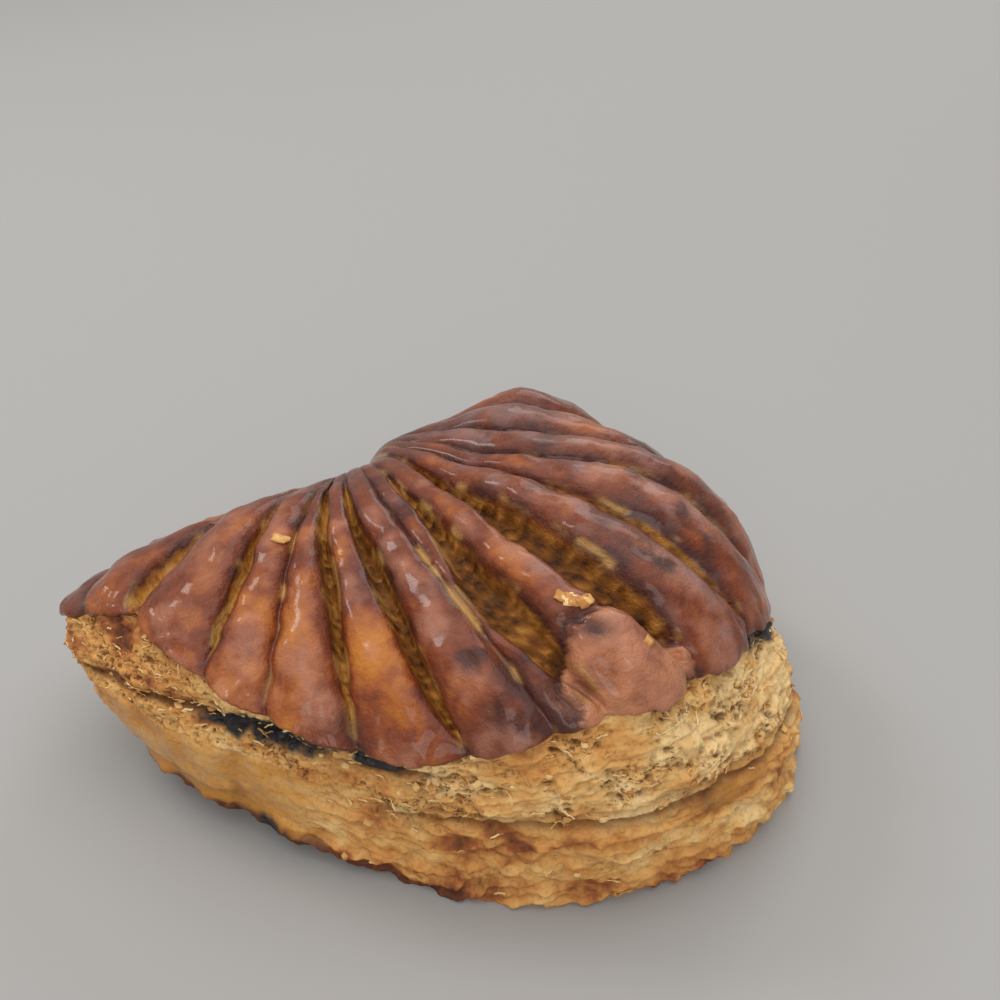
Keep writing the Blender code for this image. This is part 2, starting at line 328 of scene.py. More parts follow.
    def crust_height(self, x: Array, y: Array) -> Array:
        """Return the height of the smooth crust above the sole."""
        angle = np.degrees(np.arctan2(y, x))
        share = np.clip(np.hypot(x, y) / self.reading(angle, "reach"), 0.0, 1.0)
        crown = self.crown_height + self.crown_lean[0] * x + self.crown_lean[1] * (y + 15.0)
        fall = (1.0 - share ** self.reading(angle, "square")) ** self.reading(angle, "plunge")
        lip = self.reading(angle, "lip")
        return lip + (crown - lip) * fall

    def lip_points(self, rim: Array) -> Array:
        """Return the points of the lip at these bearings from the focus."""
        reach = self.rim_reach(rim)
        x = self.focus[0] + reach * np.cos(np.radians(rim))
        y = self.focus[1] + reach * np.sin(np.radians(rim))
        return np.stack([x, y, self.reading(np.degrees(np.arctan2(y, x)), "lip")], axis=-1)

    def sway_at(self, rim: Array, share: Array) -> Array:
        """Return how far the paths swing aside, in degrees, between the cuts' own sways."""
        knots = [cut.rim for cut in self.cuts] + list(self.fold_bearings) + [self.cuts[0].rim + TURN]
        straight = (0.0,) * len(Cut.SHARES)
        sways = [cut.sway for cut in self.cuts] + [straight, straight, self.cuts[0].sway]
        table = np.array(sways)
        spot = np.clip(np.searchsorted(knots, rim, side="right") - 1, 0, len(knots) - 2)
        low, high = np.array(knots)[spot], np.array(knots)[spot + 1]
        blend = (rim - low) / (high - low)
        place = np.interp(share, Cut.SHARES, np.arange(len(Cut.SHARES)))
        column = np.clip(np.floor(place).astype(int), 0, len(Cut.SHARES) - 2)
        part = smooth_step(0.0, 1.0, place - column)
        first = table[spot, column] * (1 - part) + table[spot, column + 1] * part
        second = table[spot + 1, column] * (1 - part) + table[spot + 1, column + 1] * part
        return first * (1 - blend) + second * blend

    def crust_hit(self, directions: Array) -> Array:
        """Return where rays from the heart meet the smooth crust."""
        heart = np.array(self.heart)
        low = np.zeros(directions.shape[:-1])
        high = np.full(directions.shape[:-1], self.farthest)
        for _ in range(self.halvings):
            middle = (low + high) / 2
            x, y, z = np.moveaxis(heart + directions * middle[..., None], -1, 0)
            reach = self.reading(np.degrees(np.arctan2(y, x)), "reach")
            inside = (np.hypot(x, y) < reach) & (z < self.crust_height(x, y))
            low, high = np.where(inside, middle, low), np.where(inside, high, middle)
        return heart + directions * low[..., None]

    def fan_points(self, rim: Array, share: Array) -> Array:
        """Return points of the smooth crust on the paths that end at these rim bearings."""
        heart = np.array(self.heart)
        focus = np.array(self.focus)
        first = unit(np.array([*focus, self.crust_height(*focus)]) - heart)
        last = unit(self.lip_points(rim) - heart)
        whole = np.arccos(np.clip((first * last).sum(axis=-1), -1.0, 1.0))
        ways = np.stack([np.sin(whole * (1 - share)), np.sin(whole * share)]) / np.sin(whole)
        aside = unit(np.cross(np.broadcast_to(first, last.shape), last))
        directions = first * ways[0][..., None] + last * ways[1][..., None]
        directions += aside * np.radians(self.sway_at(rim, share))[..., None]
        return self.crust_hit(unit(directions))


def grid_mesh(
    name: str, points: Array, marks: dict[str, Array], form: PastryForm, closed_end: bool
) -> bpy.types.Object:
    """Make a mesh of a grid whose columns run round and rows run out or down.

    Args:
        name: Name of the piece.
        points: Grid of points in millimetres, columns by rows.
        marks: Numbers for the finish to read, each a grid of the same size.
        form: The pastry's form, which gives the middle.
        closed_end: True if the last row is one point.

    Returns:
        The piece, smooth shaded, with its marks as point attributes.
    """
    columns, rows = points.shape[:2]
    index = np.arange(columns * rows).reshape(columns, rows)
    nxt = np.roll(index, -1, axis=0)
    quads = np.stack([index[:, :-1], index[:, 1:], nxt[:, 1:], nxt[:, :-1]], axis=-1).reshape(-1, 4)
    place = (points - np.array([form.middle[0], form.middle[1], 0.0])) * MM
    mesh = bpy.data.meshes.new(name)
    mesh.vertices.add(columns * rows)
    mesh.vertices.foreach_set("co", place.reshape(-1))
    mesh.loops.add(quads.size)
    mesh.loops.foreach_set("vertex_index", quads.reshape(-1).astype(np.int32))
    mesh.polygons.add(len(quads))
    mesh.polygons.foreach_set("loop_start", np.arange(0, quads.size, 4, dtype=np.int32))
    for mark, values in marks.items():
        layer = mesh.attributes.new(mark, "FLOAT", "POINT")
        layer.data.foreach_set("value", values.reshape(-1).astype(np.float32))
    mesh.update(calc_edges=True)
    mesh.validate()
    mesh.shade_smooth()
    piece = bpy.data.objects.new(name, mesh)
    bpy.context.scene.collection.objects.link(piece)
    if closed_end:
        weld(mesh)
    return piece


def weld(mesh: bpy.types.Mesh, distance: float = 2e-6) -> None:
    """Merge the mesh's doubled points, such as those of a pole.

    Args:
        mesh: The mesh to change.
        distance: How close two points are when they merge, in metres.
    """
    import bmesh

    shape = bmesh.new()
    shape.from_mesh(mesh)
    bmesh.ops.remove_doubles(shape, verts=shape.verts, dist=distance)
    shape.to_mesh(mesh)
    shape.free()


def grid_normals(points: Array) -> Array:
    """Return unit normals of a grid whose columns run round and rows run out.

    Args:
        points: Grid of points, columns by rows.

    Returns:
        A unit normal for each point, outwards.
    """
    along = np.gradient(points, axis=1)
    across = np.roll(points, -1, axis=0) - np.roll(points, 1, axis=0)
    return unit(np.cross(along, across))


@dataclass
class Crust:
    """The glazed crust: sausage-shaped ridges between a fan of baked-open cuts.

    Attributes:
        form: The smooth form below it.
        rows: Rows of points from the focus to the lip.
        columns_on_rim: Columns round the layered side.
        columns_on_fold: Columns behind the cuts.
        crowding: How much closer the columns stand at the cuts.
        ridge_share: Height of a ridge as a share of its width.
        ridge_limit: The most that a ridge rises.
        shoulder: How round a ridge's shoulders are, as a share of its width.
        sink: How far the smooth crust lies below the form.
        fade: Share of the way out over which the ridges rise.
        walls: Width in plan of a cut's steep wall and of its sloping one.
        droop: How far a ridge's end hangs over the side.
        curl: How far the crust's edge curls in below the lip.
        seed: Which unevenness to draw.
    """

    form: PastryForm
    rows: int = 100
    columns_on_rim: int = 690
    columns_on_fold: int = 170
    crowding: float = 0.5
    ridge_share: float = 0.25
    ridge_limit: float = 3.0
    shoulder: float = 0.15
    sink: float = 1.9
    fade: float = 0.35
    walls: tuple[float, float] = (0.7, 2.6)
    droop: float = 0.8
    curl: float = 3.0
    seed: int = 11
    marks: dict[str, Array] = field(default_factory=dict)

    def bearings(self) -> tuple[Array, Array]:
        """Return the rim bearing of each column, and the gap between cuts that it lies in."""
        rims = [cut.rim for cut in self.form.cuts]
        span = rims[-1] - rims[0]
        values, gaps = [], []
        for number, (low, high) in enumerate(zip(rims[:-1], rims[1:])):
            count = max(8, round(self.columns_on_rim * (high - low) / span))
            even = np.arange(count) / count
            eased = even - self.crowding * np.sin(2 * np.pi * even) / (2 * np.pi)
            values.append(low + (high - low) * eased)
            gaps.append(np.full(count, number))
        fold = np.linspace(rims[-1], rims[0] + TURN, 800)
        lip = self.form.lip_points(fold)[:, :2]
        walked = np.concatenate([[0.0], np.cumsum(np.linalg.norm(np.diff(lip, axis=0), axis=1))])
        stops = np.linspace(0.0, walked[-1], self.columns_on_fold, endpoint=False)
        values.append(np.interp(stops, walked, fold))
        gaps.append(np.full(self.columns_on_fold, len(rims) - 1))
        return np.concatenate(values), np.concatenate(gaps)

    def build(self) -> tuple[bpy.types.Object, Array]:
        """Lay out the crust.

        Returns:
            The crust, and the ring of points along its lip.
        """
        rim, gap = self.bearings()
        even = np.linspace(0.0, 1.0, self.rows)
        row_shares = 1.0 - (1.0 - even) ** 1.25
        share, rims = np.meshgrid(row_shares, rim)
        smooth = self.form.fan_points(rims, share)
        normals = grid_normals(smooth)
        relief = self.ridges(smooth, share, rims, row_shares, gap)
        relief += self.lumps(smooth, share, rims)
        relief += self.lobe(smooth, share, rims)
        points = smooth + normals * relief[..., None]
        hang = smooth_step(0.88, 1.0, share) * (0.15 + 0.35 * self.marks["ridge"] + 0.6 * self.marks["belly"])
        ragged = 0.5 + 0.5 * Grain.rough(smooth, (7.0, 7.0, 60.0), self.seed + 40, 3)
        jag = np.abs(Grain.rough(smooth, (2.7, 2.7, 60.0), self.seed + 44, 2))
        fringe = turn_hill(rims, 297.0, 17.0) * smooth_step(0.9, 0.97, share)
        pleats = Grain.soft(smooth, (2.3, 2.3, 60.0), self.seed + 48)
        jag = jag + 0.7 * fringe * (0.5 + pleats)
        points += normals * (0.7 * fringe * pleats)[..., None]
        outwards = unit(smooth * np.array([1.0, 1.0, 0.0]))
        points += outwards * (0.5 * smooth_step(0.9, 0.99, share) * self.marks["belly"])[..., None]
        points[..., 2] -= hang * (self.droop * (0.4 + 0.9 * ragged) + 1.9 * jag - 0.5)
        points[:, 0] = points[:, 0].mean(axis=0)
        lip = points[:, -1].copy()
        points = self.curled(points)
        tints = Baking(self.form).colour(self, points)
        return grid_mesh("baked_crust", points, tints, self.form, True), lip

    def ridges(self, smooth: Array, share: Array, rims: Array, row_shares: Array, gap: Array) -> Array:
        """Raise the ridges and open the cuts.

        Args:
            smooth: Points of the smooth crust.
            share: Share of the way out, for each point.
            rims: Rim bearing of each point's column.
            row_shares: The same for each row.
            gap: Which two cuts each column lies between.

        Returns:
            How far each point moves out.
        """
        cuts = self.form.cuts
        paths = np.stack([self.form.fan_points(np.full_like(row_shares, c.rim), row_shares) for c in cuts])
        gapes = np.stack([cut.gape_at(row_shares) for cut in cuts])
        depths = np.array([cut.depth for cut in cuts])
        left, right = gap, (gap + 1) % len(cuts)
        edge_wave = 0.35 * Grain.rough(smooth, (5.0, 5.0, 5.0), self.seed + 3, 3)
        near, slot, floor = [], [], []
        for side, slope in zip((left, right), (self.walls[1], self.walls[0])):
            away = np.linalg.norm(smooth - paths[side], axis=-1)
            gape = gapes[side] * (1.0 + 0.5 * edge_wave)
            near.append(away - gape)
            wall = np.minimum(slope, 0.3 + gape)
            inside = smooth_step(0.0, 1.0, (gape - away + 0.25) / wall)
            open_enough = smooth_step(0.15, 0.9, gape)
            slot.append(inside * open_enough)
            floor.append(depths[side][:, None] * (0.45 + 0.55 * smooth_step(0.3, 2.0, gape)))
        width = np.maximum(near[0] + near[1], 0.3)
        soft = np.clip(self.shoulder * width, 0.05, self.ridge_limit)
        rise = [1 - np.exp(-np.maximum(e, 0.0) / soft) for e in near]
        round_over = rise[0] * rise[1]
        self.marks["ridge"] = round_over * smooth_step(0.0, self.fade, share)
        part = np.clip(near[0] / width, 0.0, 1.0)
        self.marks["belly"] = 4.0 * part * (1.0 - part) * smooth_step(3.0, 9.0, width)
        flat_end = 1 - 0.45 * smooth_step(0.84, 1.0, share)
        height = np.minimum(self.ridge_share * width, self.ridge_limit) * flat_end
        relief = height * self.marks["ridge"] - self.sink * flat_end * smooth_step(0.0, self.fade, share)
        deep = np.maximum(slot[0] * floor[0], slot[1] * floor[1])
        closing = 1 - 0.8 * smooth_step(0.95, 1.0, share)
        fibre = Grain.rough(smooth, (2.2, 2.2, 1.1), self.seed + 21, 4)
        relief -= deep * closing * (1.0 + 0.035 * fibre)
        lengthways = np.stack([rims * 1.3 * (0.15 + 0.85 * share), share * 16.0, 0 * share], axis=-1)
        self.marks["strand"] = Grain.rough(lengthways, (1.5, 8.0, 1.0), self.seed + 77, 3)
        relief += 0.4 * self.marks["strand"] * np.clip(deep, 0.0, 1.5)
        self.marks["slot"] = np.clip(np.maximum(slot[0], slot[1]) * closing, 0, 1)
        self.marks["deep"] = deep * closing / 6.0
        nearest = np.minimum(near[0], near[1])
        self.marks["edge"] = np.exp(-((nearest / 0.5) ** 2)) * smooth_step(0.1, 0.6, np.maximum(*floor) / 5)
        # Painted shade: this mark darkens the crust along the creases beside the cuts.
        self.marks["crease"] = np.exp(-np.maximum(nearest, 0.0) / 0.9) * smooth_step(0.05, 0.3, share)
        return relief

    def lumps(self, smooth: Array, share: Array, rims: Array) -> Array:
        """Return the crust's own unevenness, from soft dents to fine wrinkles.

        Args:
            smooth: Points of the smooth crust.
            share: Share of the way out, for each point.
            rims: Rim bearing of each point's column. Not used.

        Returns:
            How far each point moves out.
        """
        skin = 1.0 - self.marks["slot"]
        grown = smooth_step(0.05, 0.45, share)
        dents = 0.8 * Grain.rough(smooth, (9.0, 9.0, 9.0), self.seed, 3)
        pulled = Grain.rough(smooth, (6.5, 6.5, 6.5), self.seed + 5, 3)
        wrinkles = 0.16 * Grain.rough(smooth, (3.2, 3.2, 3.2), self.seed + 9, 2)
        away, owner = Grain.pores(smooth, (4.2, 4.2, 4.2), self.seed + 15)
        blisters = 0.3 * (owner > 0.8) * smooth_step(0.42, 0.1, away)
        self.marks["pulled"] = pulled
        self.marks["share"] = share
        self.marks["dents"] = dents
        return ((dents + 0.35 * pulled + blisters) * skin + wrinkles * (0.3 + 0.7 * skin)) * grown

    def lobe(self, smooth: Array, share: Array, rims: Array) -> Array:
        """Return the smooth lobe that swells at the rim end of one ridge."""
        edge = 0.22 * Grain.rough(smooth, (5.0, 5.0, 5.0), self.seed + 31, 3)
        along = (share - 0.965) / 0.115
        across = (rims - 277.6 + 12.0 * (share - 0.93)) / 7.4
        away = np.sqrt(along**2 + across**2) + edge
        body = np.sqrt(np.clip(1.0 - np.clip(away, 0.0, 1.0) ** 3, 0.0, 1.0))
        groove = hill(away, 1.05, 0.08) * smooth_step(1.0, 0.93, share)
        dent = np.exp(-(((share - 0.885) / 0.016) ** 2) - ((rims - 276.6) / 1.3) ** 2)
        self.marks["salmon"] = smooth_step(0.0, 0.25, body)
        # Painted shade: this mark darkens the dent and the groove round the lobe, through the crust's char colour.
        self.marks["dent"] = np.clip(dent + 0.75 * groove * (rims < 284.5), 0.0, 1.0)
        self.marks["slot"] = self.marks["slot"] * (1.0 - 0.85 * smooth_step(0.0, 0.5, body))
        uneven = 0.7 * Grain.rough(smooth, (4.5, 4.5, 4.5), self.seed + 37, 3)
        return (1.7 + uneven - 14.0 * np.clip(share - 0.93, 0.0, 1.0)) * body - 1.4 * dent - 1.9 * groove

    def curled(self, points: Array) -> Array:
        """Curl the crust's edge in below the lip, and carry its marks along.

        Args:
            points: Points of the crust, columns by rows.

        Returns:
            The points with the curl's rows added.
        """
        lip = points[:, -1]
        inward = -unit(lip * np.array([1.0, 1.0, 0.0]))
        drops = ((0.12, 0.45), (0.5, 0.75), (1.3, 0.7), (self.curl, 0.2))
        extra = [lip + inward * reach - np.array([0.0, 0.0, drop]) for reach, drop in drops]
        for name, values in self.marks.items():
            self.marks[name] = np.concatenate([values] + [values[:, -1:]] * len(drops), axis=1)
        # Painted shadow: this mark darkens the rows that curl in below the lip.
        under = np.zeros(self.marks["slot"].shape)
        under[:, -len(drops) :] = (0.4, 0.8, 1.0, 1.0)
        self.marks["under"] = under
        return np.concatenate([points] + [row[:, None] for row in extra], axis=1)


@dataclass
class LayeredSide:
    """The side, where the pastry's layers show, and the edge that it stands on.

    Attributes:
        form: The smooth form behind it.
        rows: Rows of points from the lip to the foot.
        split: Row where the upper layers give way to the lower ones.
        under_rows: Rows from the foot in to the sole.
        overhang: How far the crust hangs over it.
        flute_fade: How fast the crust's scallops die out below the lip.
        seam_width: Half width of a seam, as a share of the side's height.
        upper_depth: Depth of the seam near the pointed tip.
        lower_depth: Depth of the seam round the front.
        leaves: Number of pastry layers between lip and foot at the full height.
        full_height: The height of side that they are counted over.
        sole_inset: How far in from the foot the sole begins.
        sole_slope: How much farther in it begins for each millimetre of lift.
        seed: Which unevenness to draw.
    """

    form: PastryForm
    rows: int = 176
    split: int = 84
    under_rows: int = 14
    overhang: float = 1.3
    flute_fade: float = 4.0
    seam_width: float = 0.06
    upper_depth: float = 1.5
    lower_depth: float = 1.9
    leaves: float = 15.0
    full_height: float = 43.0
    sole_inset: float = 4.0
    sole_slope: float = 2.0
    seed: int = 301

    def build(self, lip: Array) -> tuple[list[bpy.types.Object], Array]:
        """Lay out the side below the crust's lip.

        Args:
            lip: Ring of points along the crust's lip.

        Returns:
            The upper and the lower layers, and the ring where they meet the sole.
        """
        angle = np.mod(np.degrees(np.arctan2(lip[:, 1], lip[:, 0])), TURN)
        share, angles = np.meshgrid(np.linspace(0.0, 1.0, self.rows), angle)
        points = self.smooth_side(lip, angles, share)
        normals = grid_normals(points)
        relief, marks = self.layered(points, angles, share)
        hidden = smooth_step(0.0, 0.03, share)
        points = points + normals * (relief * hidden)[..., None]
        points[:, 0] -= unit(points[:, 0] * np.array([1.0, 1.0, 0.0])) * 1.6
        points[:, 0, 2] += 0.7
        points, marks = self.footed(points, angle, marks)
        upper = {name: values[:, : self.split + 1] for name, values in marks.items()}
        lower = {name: values[:, self.split :] for name, values in marks.items()}
        pieces = [
            grid_mesh("upper_layers", points[:, : self.split + 1], upper, self.form, False),
            grid_mesh("lower_layers", points[:, self.split :], lower, self.form, False),
        ]
        return pieces, points[:, -1]

    def smooth_side(self, lip: Array, angle: Array, share: Array) -> Array:
        """Return the side without its relief."""
        form = self.form
        reach, height = form.reading(angle, "reach"), form.reading(angle, "lip")
        flute = (1.0 - share) ** self.flute_fade
        top = reach - self.overhang + (np.hypot(lip[:, 0], lip[:, 1])[:, None] - reach) * flute
        rim = height + (lip[:, 2][:, None] - height) * flute
        foot = form.reading(angle, "foot")
        out = top + (foot - top) * share + form.reading(angle, "bulge") * np.sin(np.pi * share)
        up = rim + (form.lifted(angle) - rim) * share
        return np.stack([out * np.cos(np.radians(angle)), out * np.sin(np.radians(angle)), up], axis=-1)

    def seams(self, points: Array, angle: Array, share: Array) -> tuple[Array, Array]:
        """Return how strongly the upper and the lower seam show at each point."""
        wander = 0.024 * Grain.rough(points, (9.0, 9.0, 40.0), self.seed + 60, 4)
        upper_at = np.interp(angle, (165.0, 180.0, 200.0, 220.0, 240.0), (0.42, 0.36, 0.27, 0.21, 0.12))
        upper = smooth_step(160.0, 172.0, angle) * (1 - smooth_step(236.0, 246.0, angle))
        lower_at = np.interp(angle, (215.0, 250.0, 300.0, 350.0), (0.43, 0.45, 0.5, 0.55))
        lower = smooth_step(222.0, 250.0, angle) * (1 - smooth_step(345.0, 358.0, angle))
        upper = upper * hill(share + 0.5 * wander - upper_at, 0.0, 0.4 * self.seam_width)
        away = share + 1.4 * wander - lower_at
        lower = lower * np.maximum(hill(away, 0.0, 0.42 * self.seam_width), 0.45 * hill(away, -0.055, 0.018))
        return upper, lower

    def layered(self, points: Array, angle: Array, share: Array) -> tuple[Array, dict[str, Array]]:
        """Tear the layers open.

        Args:
            points: Points of the smooth side.
            angle: Direction of each point about the middle.
            share: Share of the way down, for each point.

        Returns:
            How far each point moves out, and the marks for the finish.
        """
        upper, lower = self.seams(points, angle, share)
        coarse, coarse_edge = self.shingles(points, share, self.leaves, self.seed + 4)
        coarse_edge = coarse_edge * (1 - 0.4 * smooth_step(0.45, 0.55, share))
        fine, fine_edge = self.shingles(points, share, 2.3 * self.leaves, self.seed + 14)
        fibre = Grain.rough(points, (5.0, 5.0, 1.2), self.seed + 12, 5)
        knots = Grain.rough(points, (3.2, 3.2, 2.4), self.seed + 19, 4)
        lumps = Grain.rough(points, (12.0, 12.0, 8.0), self.seed + 26, 3)
        pit = self.pits(points, (2.8, 2.8, 1.7), 0.4, self.seed + 33)
        small_pit = self.pits(points, (1.7, 1.7, 1.2), 0.45, self.seed + 43)
        crumbly = self.crumbly(points, angle, share)
        skin = self.glossy(points, angle, share)
        rough = 1.0 - 0.85 * skin
        left = turn_hill(angle, 195.0, 30.0)
        holes = crumbly * np.maximum(pit * (1 - 0.75 * left), (0.55 + 0.35 * left) * small_pit)
        calm = 1.0 - 0.55 * left
        open_relief = (1.0 + 0.6 * smooth_step(0.45, 0.6, share)) * coarse * calm + 0.3 * fine * calm + 0.5 * fibre * calm + 0.8 * knots - 1.9 * holes
        runs = Grain.rough(points, (6.5, 6.5, 22.0), self.seed + 120, 3)
        relief = open_relief * rough + 1.1 * lumps + 0.9 * runs * skin
        relief += 1.4 * smooth_step(0.86, 0.93, share) * (1 - 0.5 * smooth_step(0.96, 1.0, share)) * (0.6 + 0.5 * runs)
        burst = turn_hill(angle, 214.0, 14.0) * hill(share, 0.2, 0.07)
        relief -= self.upper_depth * upper + self.lower_depth * lower + 2.2 * burst + 0.5
        # Painted shade: this mark darkens the pores, the cracks below the leaves and the grooves between the runs on
        # the amber skin.
        hollow_shade = 1.2 * holes + 0.45 * calm * np.maximum(coarse_edge, 0.5 * fine_edge) - 0.25 * fibre - 0.3 * knots
        hollow_shade = hollow_shade + 1.2 * skin * smooth_step(-0.1, -0.8, runs)
        marks = {
            "hollow_shade": np.clip(hollow_shade * (0.12 + 0.88 * rough) + 0.02, 0, 1),
            # Painted shade: the seam mark darkens the seam grooves.
            "seam": np.clip(1.7 * upper + 0.8 * lower, 0, 1),
            "porous": np.clip(crumbly * (0.75 + 0.5 * left), 0, 1) * (1 - skin),
            "glossy": skin,
            "char": self.char(points, angle, share),
            "brown": self.brown(points, angle, share) - 0.04 * crumbly + 0.55 * skin * smooth_step(0.1, -0.9, runs),
            "flaky": np.clip(0.15 + crumbly + 0.0 * share, 0, 1) * (1 - 0.7 * smooth_step(0.45, 0.6, share)) * (1 - skin) * (share > 0.04),
        }
        return relief, marks

    def shingles(self, points: Array, share: Array, count: float, seed: int) -> tuple[Array, Array]:
        """Return the overlapping torn edges of a stack of pastry leaves.

        Args:
            points: Points of the smooth side.
            share: Share of the way down, for each point.
            count: Number of leaves.
            seed: Which tearing to draw.

        Returns:
            How far each leaf stands out, and where the crevice below its edge lies, which the side's finish darkens as
            painted shade.
        """
        wander = 0.9 * Grain.rough(points, (17.0, 17.0, 8.0), seed, 4)
        angle = np.mod(np.degrees(np.arctan2(points[..., 1], points[..., 0])), TURN)
        phase = share * count * self.form.reading(angle, "lip") / self.full_height + wander
        level = np.floor(phase)
        leaf = phase - level
        shifted = points + level[..., None] * np.array([7.3, 3.1, 0.0])
        torn = smooth_step(-0.25, 0.45, Grain.rough(shifted, (8.0, 8.0, 60.0), seed + 3, 4))
        out = smooth_step(0.1, 0.75, leaf) * (1 - smooth_step(0.86, 1.0, leaf))
        crevice_shade = (1 - smooth_step(0.0, 0.22, leaf)) + smooth_step(0.9, 1.0, leaf)
        return out * torn, crevice_shade * torn

    def pits(self, points: Array, size: tuple[float, float, float], share: float, seed: int) -> Array:
        """Return the depth of the pores that the steam left.

        Args:
            points: Points of the smooth side.
            size: Size of a pore's cell.
            share: Share of the cells that stay closed.
            seed: Which pores to draw.

        Returns:
            The depth from 0 to 1.
        """
        away, owner = Grain.pores(points + 0.4 * points[..., [1, 2, 0]] * 0.02, size, seed)
        return (owner > share) * smooth_step(0.3 + 0.35 * owner, 0.1, away)

    def crumbly(self, points: Array, angle: Array, share: Array) -> Array:
        """Return where the layers are open and full of pores."""
        patch = smooth_step(-0.15, 0.3, Grain.rough(points, (9.0, 9.0, 5.0), self.seed + 50, 3))
        patch = np.clip(patch + 0.55 * turn_hill(angle, 200.0, 36.0), 0, 1)
        band = 1 - 0.8 * smooth_step(0.4, 0.52, share)
        return patch * band

    def glossy(self, points: Array, angle: Array, share: Array) -> Array:
        """Return the smooth amber skin below the upper seam and the brown patch at the front."""
        edge = 0.06 * Grain.rough(points, (10.0, 10.0, 8.0), self.seed + 70, 3)
        amber = smooth_step(0.42, 0.5, share + edge) * (1 - smooth_step(0.9, 0.96, share))
        amber = amber * smooth_step(172.0, 182.0, angle) * (1 - smooth_step(216.0, 226.0, angle))
        patch = turn_hill(angle, 287.0, 8.0) * hill(share + edge, 0.53, 0.075)
        return np.clip(amber + patch * 1.2, 0, 1)

    def char(self, points: Array, angle: Array, share: Array) -> Array:
        """Return where the side is charred."""
        ragged = Grain.rough(points, (6.0, 6.0, 4.0), self.seed + 80, 4)
        seam_at = np.interp(angle, (165.0, 180.0, 200.0, 220.0, 240.0), (0.42, 0.36, 0.28, 0.19, 0.1))
        seam_at = seam_at - 0.035 * smooth_step(204.0, 217.0, angle)
        gap = 1.35 * turn_hill(angle, 214.0, 13.0) * hill(share, seam_at, 0.1)
        streak = 0.9 * turn_hill(angle, 232.0, 8.0) * hill(share, 0.08, 0.05)
        heel = turn_hill(angle, 212.0, 4.5) * smooth_step(0.84, 0.95, share)
        corner = turn_hill(angle, 312.0, 14.0) * hill(share, 0.03, 0.09) * 0.8
        blunt = turn_hill(angle, 20.0, 12.0) * smooth_step(0.35, 0.9, share) * 0.9
        pointed = turn_hill(angle, 158.0, 9.0) * hill(share, 0.3, 0.2) * 0.6
        total = gap + streak + heel + corner + blunt + pointed
        return np.clip(smooth_step(0.25, 0.75, total * (1.0 + 1.1 * ragged)), 0, 1)

    def brown(self, points: Array, angle: Array, share: Array) -> Array:
        """Return how browned the side is, from pale layers to dark bottom edge."""
        mottle = Grain.rough(points, (10.0, 10.0, 5.0), self.seed + 90, 5)
        fine = Grain.rough(points, (3.4, 3.4, 1.8), self.seed + 97, 4)
        ends = 0.3 * turn_hill(angle, 184.0, 26.0) * (1 - smooth_step(0.3, 0.45, share))
        lower = 0.1 * smooth_step(0.44, 0.6, share)
        heel = 0.89 - 0.13 * turn_hill(angle, 178.0, 26.0) + 0.05 * Grain.rough(points, (7.0, 7.0, 40.0), self.seed + 93, 3)
        edge = smooth_step(heel, heel + 0.06, share) * (0.12 + 0.8 * turn_hill(angle, 205.0, 38.0))
        patch = 0.35 * turn_hill(angle, 287.0, 8.0) * hill(share, 0.53, 0.08)
        patch = patch + 0.24 * turn_hill(angle, 306.0, 26.0) * hill(share, 0.6, 0.11)
        fold = 0.15 * smooth_step(0.0, 20.0, angle) * (1 - smooth_step(150.0, 168.0, angle))
        pale = -0.2 * turn_hill(angle, 305.0, 30.0) * (1 - smooth_step(0.4, 0.5, share))
        pale = pale + 0.03 * turn_hill(angle, 258.0, 14.0) * (1 - smooth_step(0.4, 0.5, share))
        pale = pale - 0.27 * turn_hill(angle, 325.0, 24.0) * smooth_step(0.58, 0.68, share)
        contrast = 0.52 + 0.1 * smooth_step(0.45, 0.55, share)
        return np.clip(0.28 + contrast * mottle + 0.18 * fine + lower + edge + patch + fold + pale + ends, 0, 1)

    def footed(
        self, points: Array, angle: Array, marks: dict[str, Array]
    ) -> tuple[Array, dict[str, Array]]:
        """Carry the side round its foot and in to the sole.

        Args:
            points: Points of the side.
            angle: Direction of each column.
            marks: The side's marks.

        Returns:
            The points and marks with the rows of the foot added.
        """
        foot = points[:, -1].copy()
        points[..., 2] = np.maximum(points[..., 2], 0.0)
        lift = self.form.lifted(angle)
        inset = self.sole_inset + self.sole_slope * lift
        reach = self.form.reading(angle, "foot") - inset
        goal = np.stack([reach * np.cos(np.radians(angle)), reach * np.sin(np.radians(angle)), 0 * reach], axis=-1)
        extra = []
        for step in range(1, self.under_rows + 1):
            way = step / self.under_rows
            row = foot + (goal - foot) * way
            row[:, 2] = np.maximum(foot[:, 2], 0.0) * (1 - way) ** 1.3
            extra.append(row[:, None])
        extra = np.concatenate(extra, axis=1)
        bumps = 0.35 * Grain.rough(extra, (5.0, 5.0, 5.0), self.seed + 110, 3)
        fade = np.sin(np.pi * np.arange(1, self.under_rows + 1) / self.under_rows)
        extra[..., 2] = np.maximum(extra[..., 2] + (bumps * fade), 0.0)
        grown = np.concatenate([points, extra], axis=1)
        grown[..., 2] = np.maximum(grown[..., 2], 0.0)
        last = {name: np.concatenate([v, np.repeat(v[:, -1:], self.under_rows, axis=1)], axis=1) for name, v in marks.items()}
        last["flaky"][:, -self.under_rows - 6 :] = 0.0
        last["brown"][:, -self.under_rows :] = np.clip(last["brown"][:, -self.under_rows :] + 0.25, 0, 1)
        return grown, last


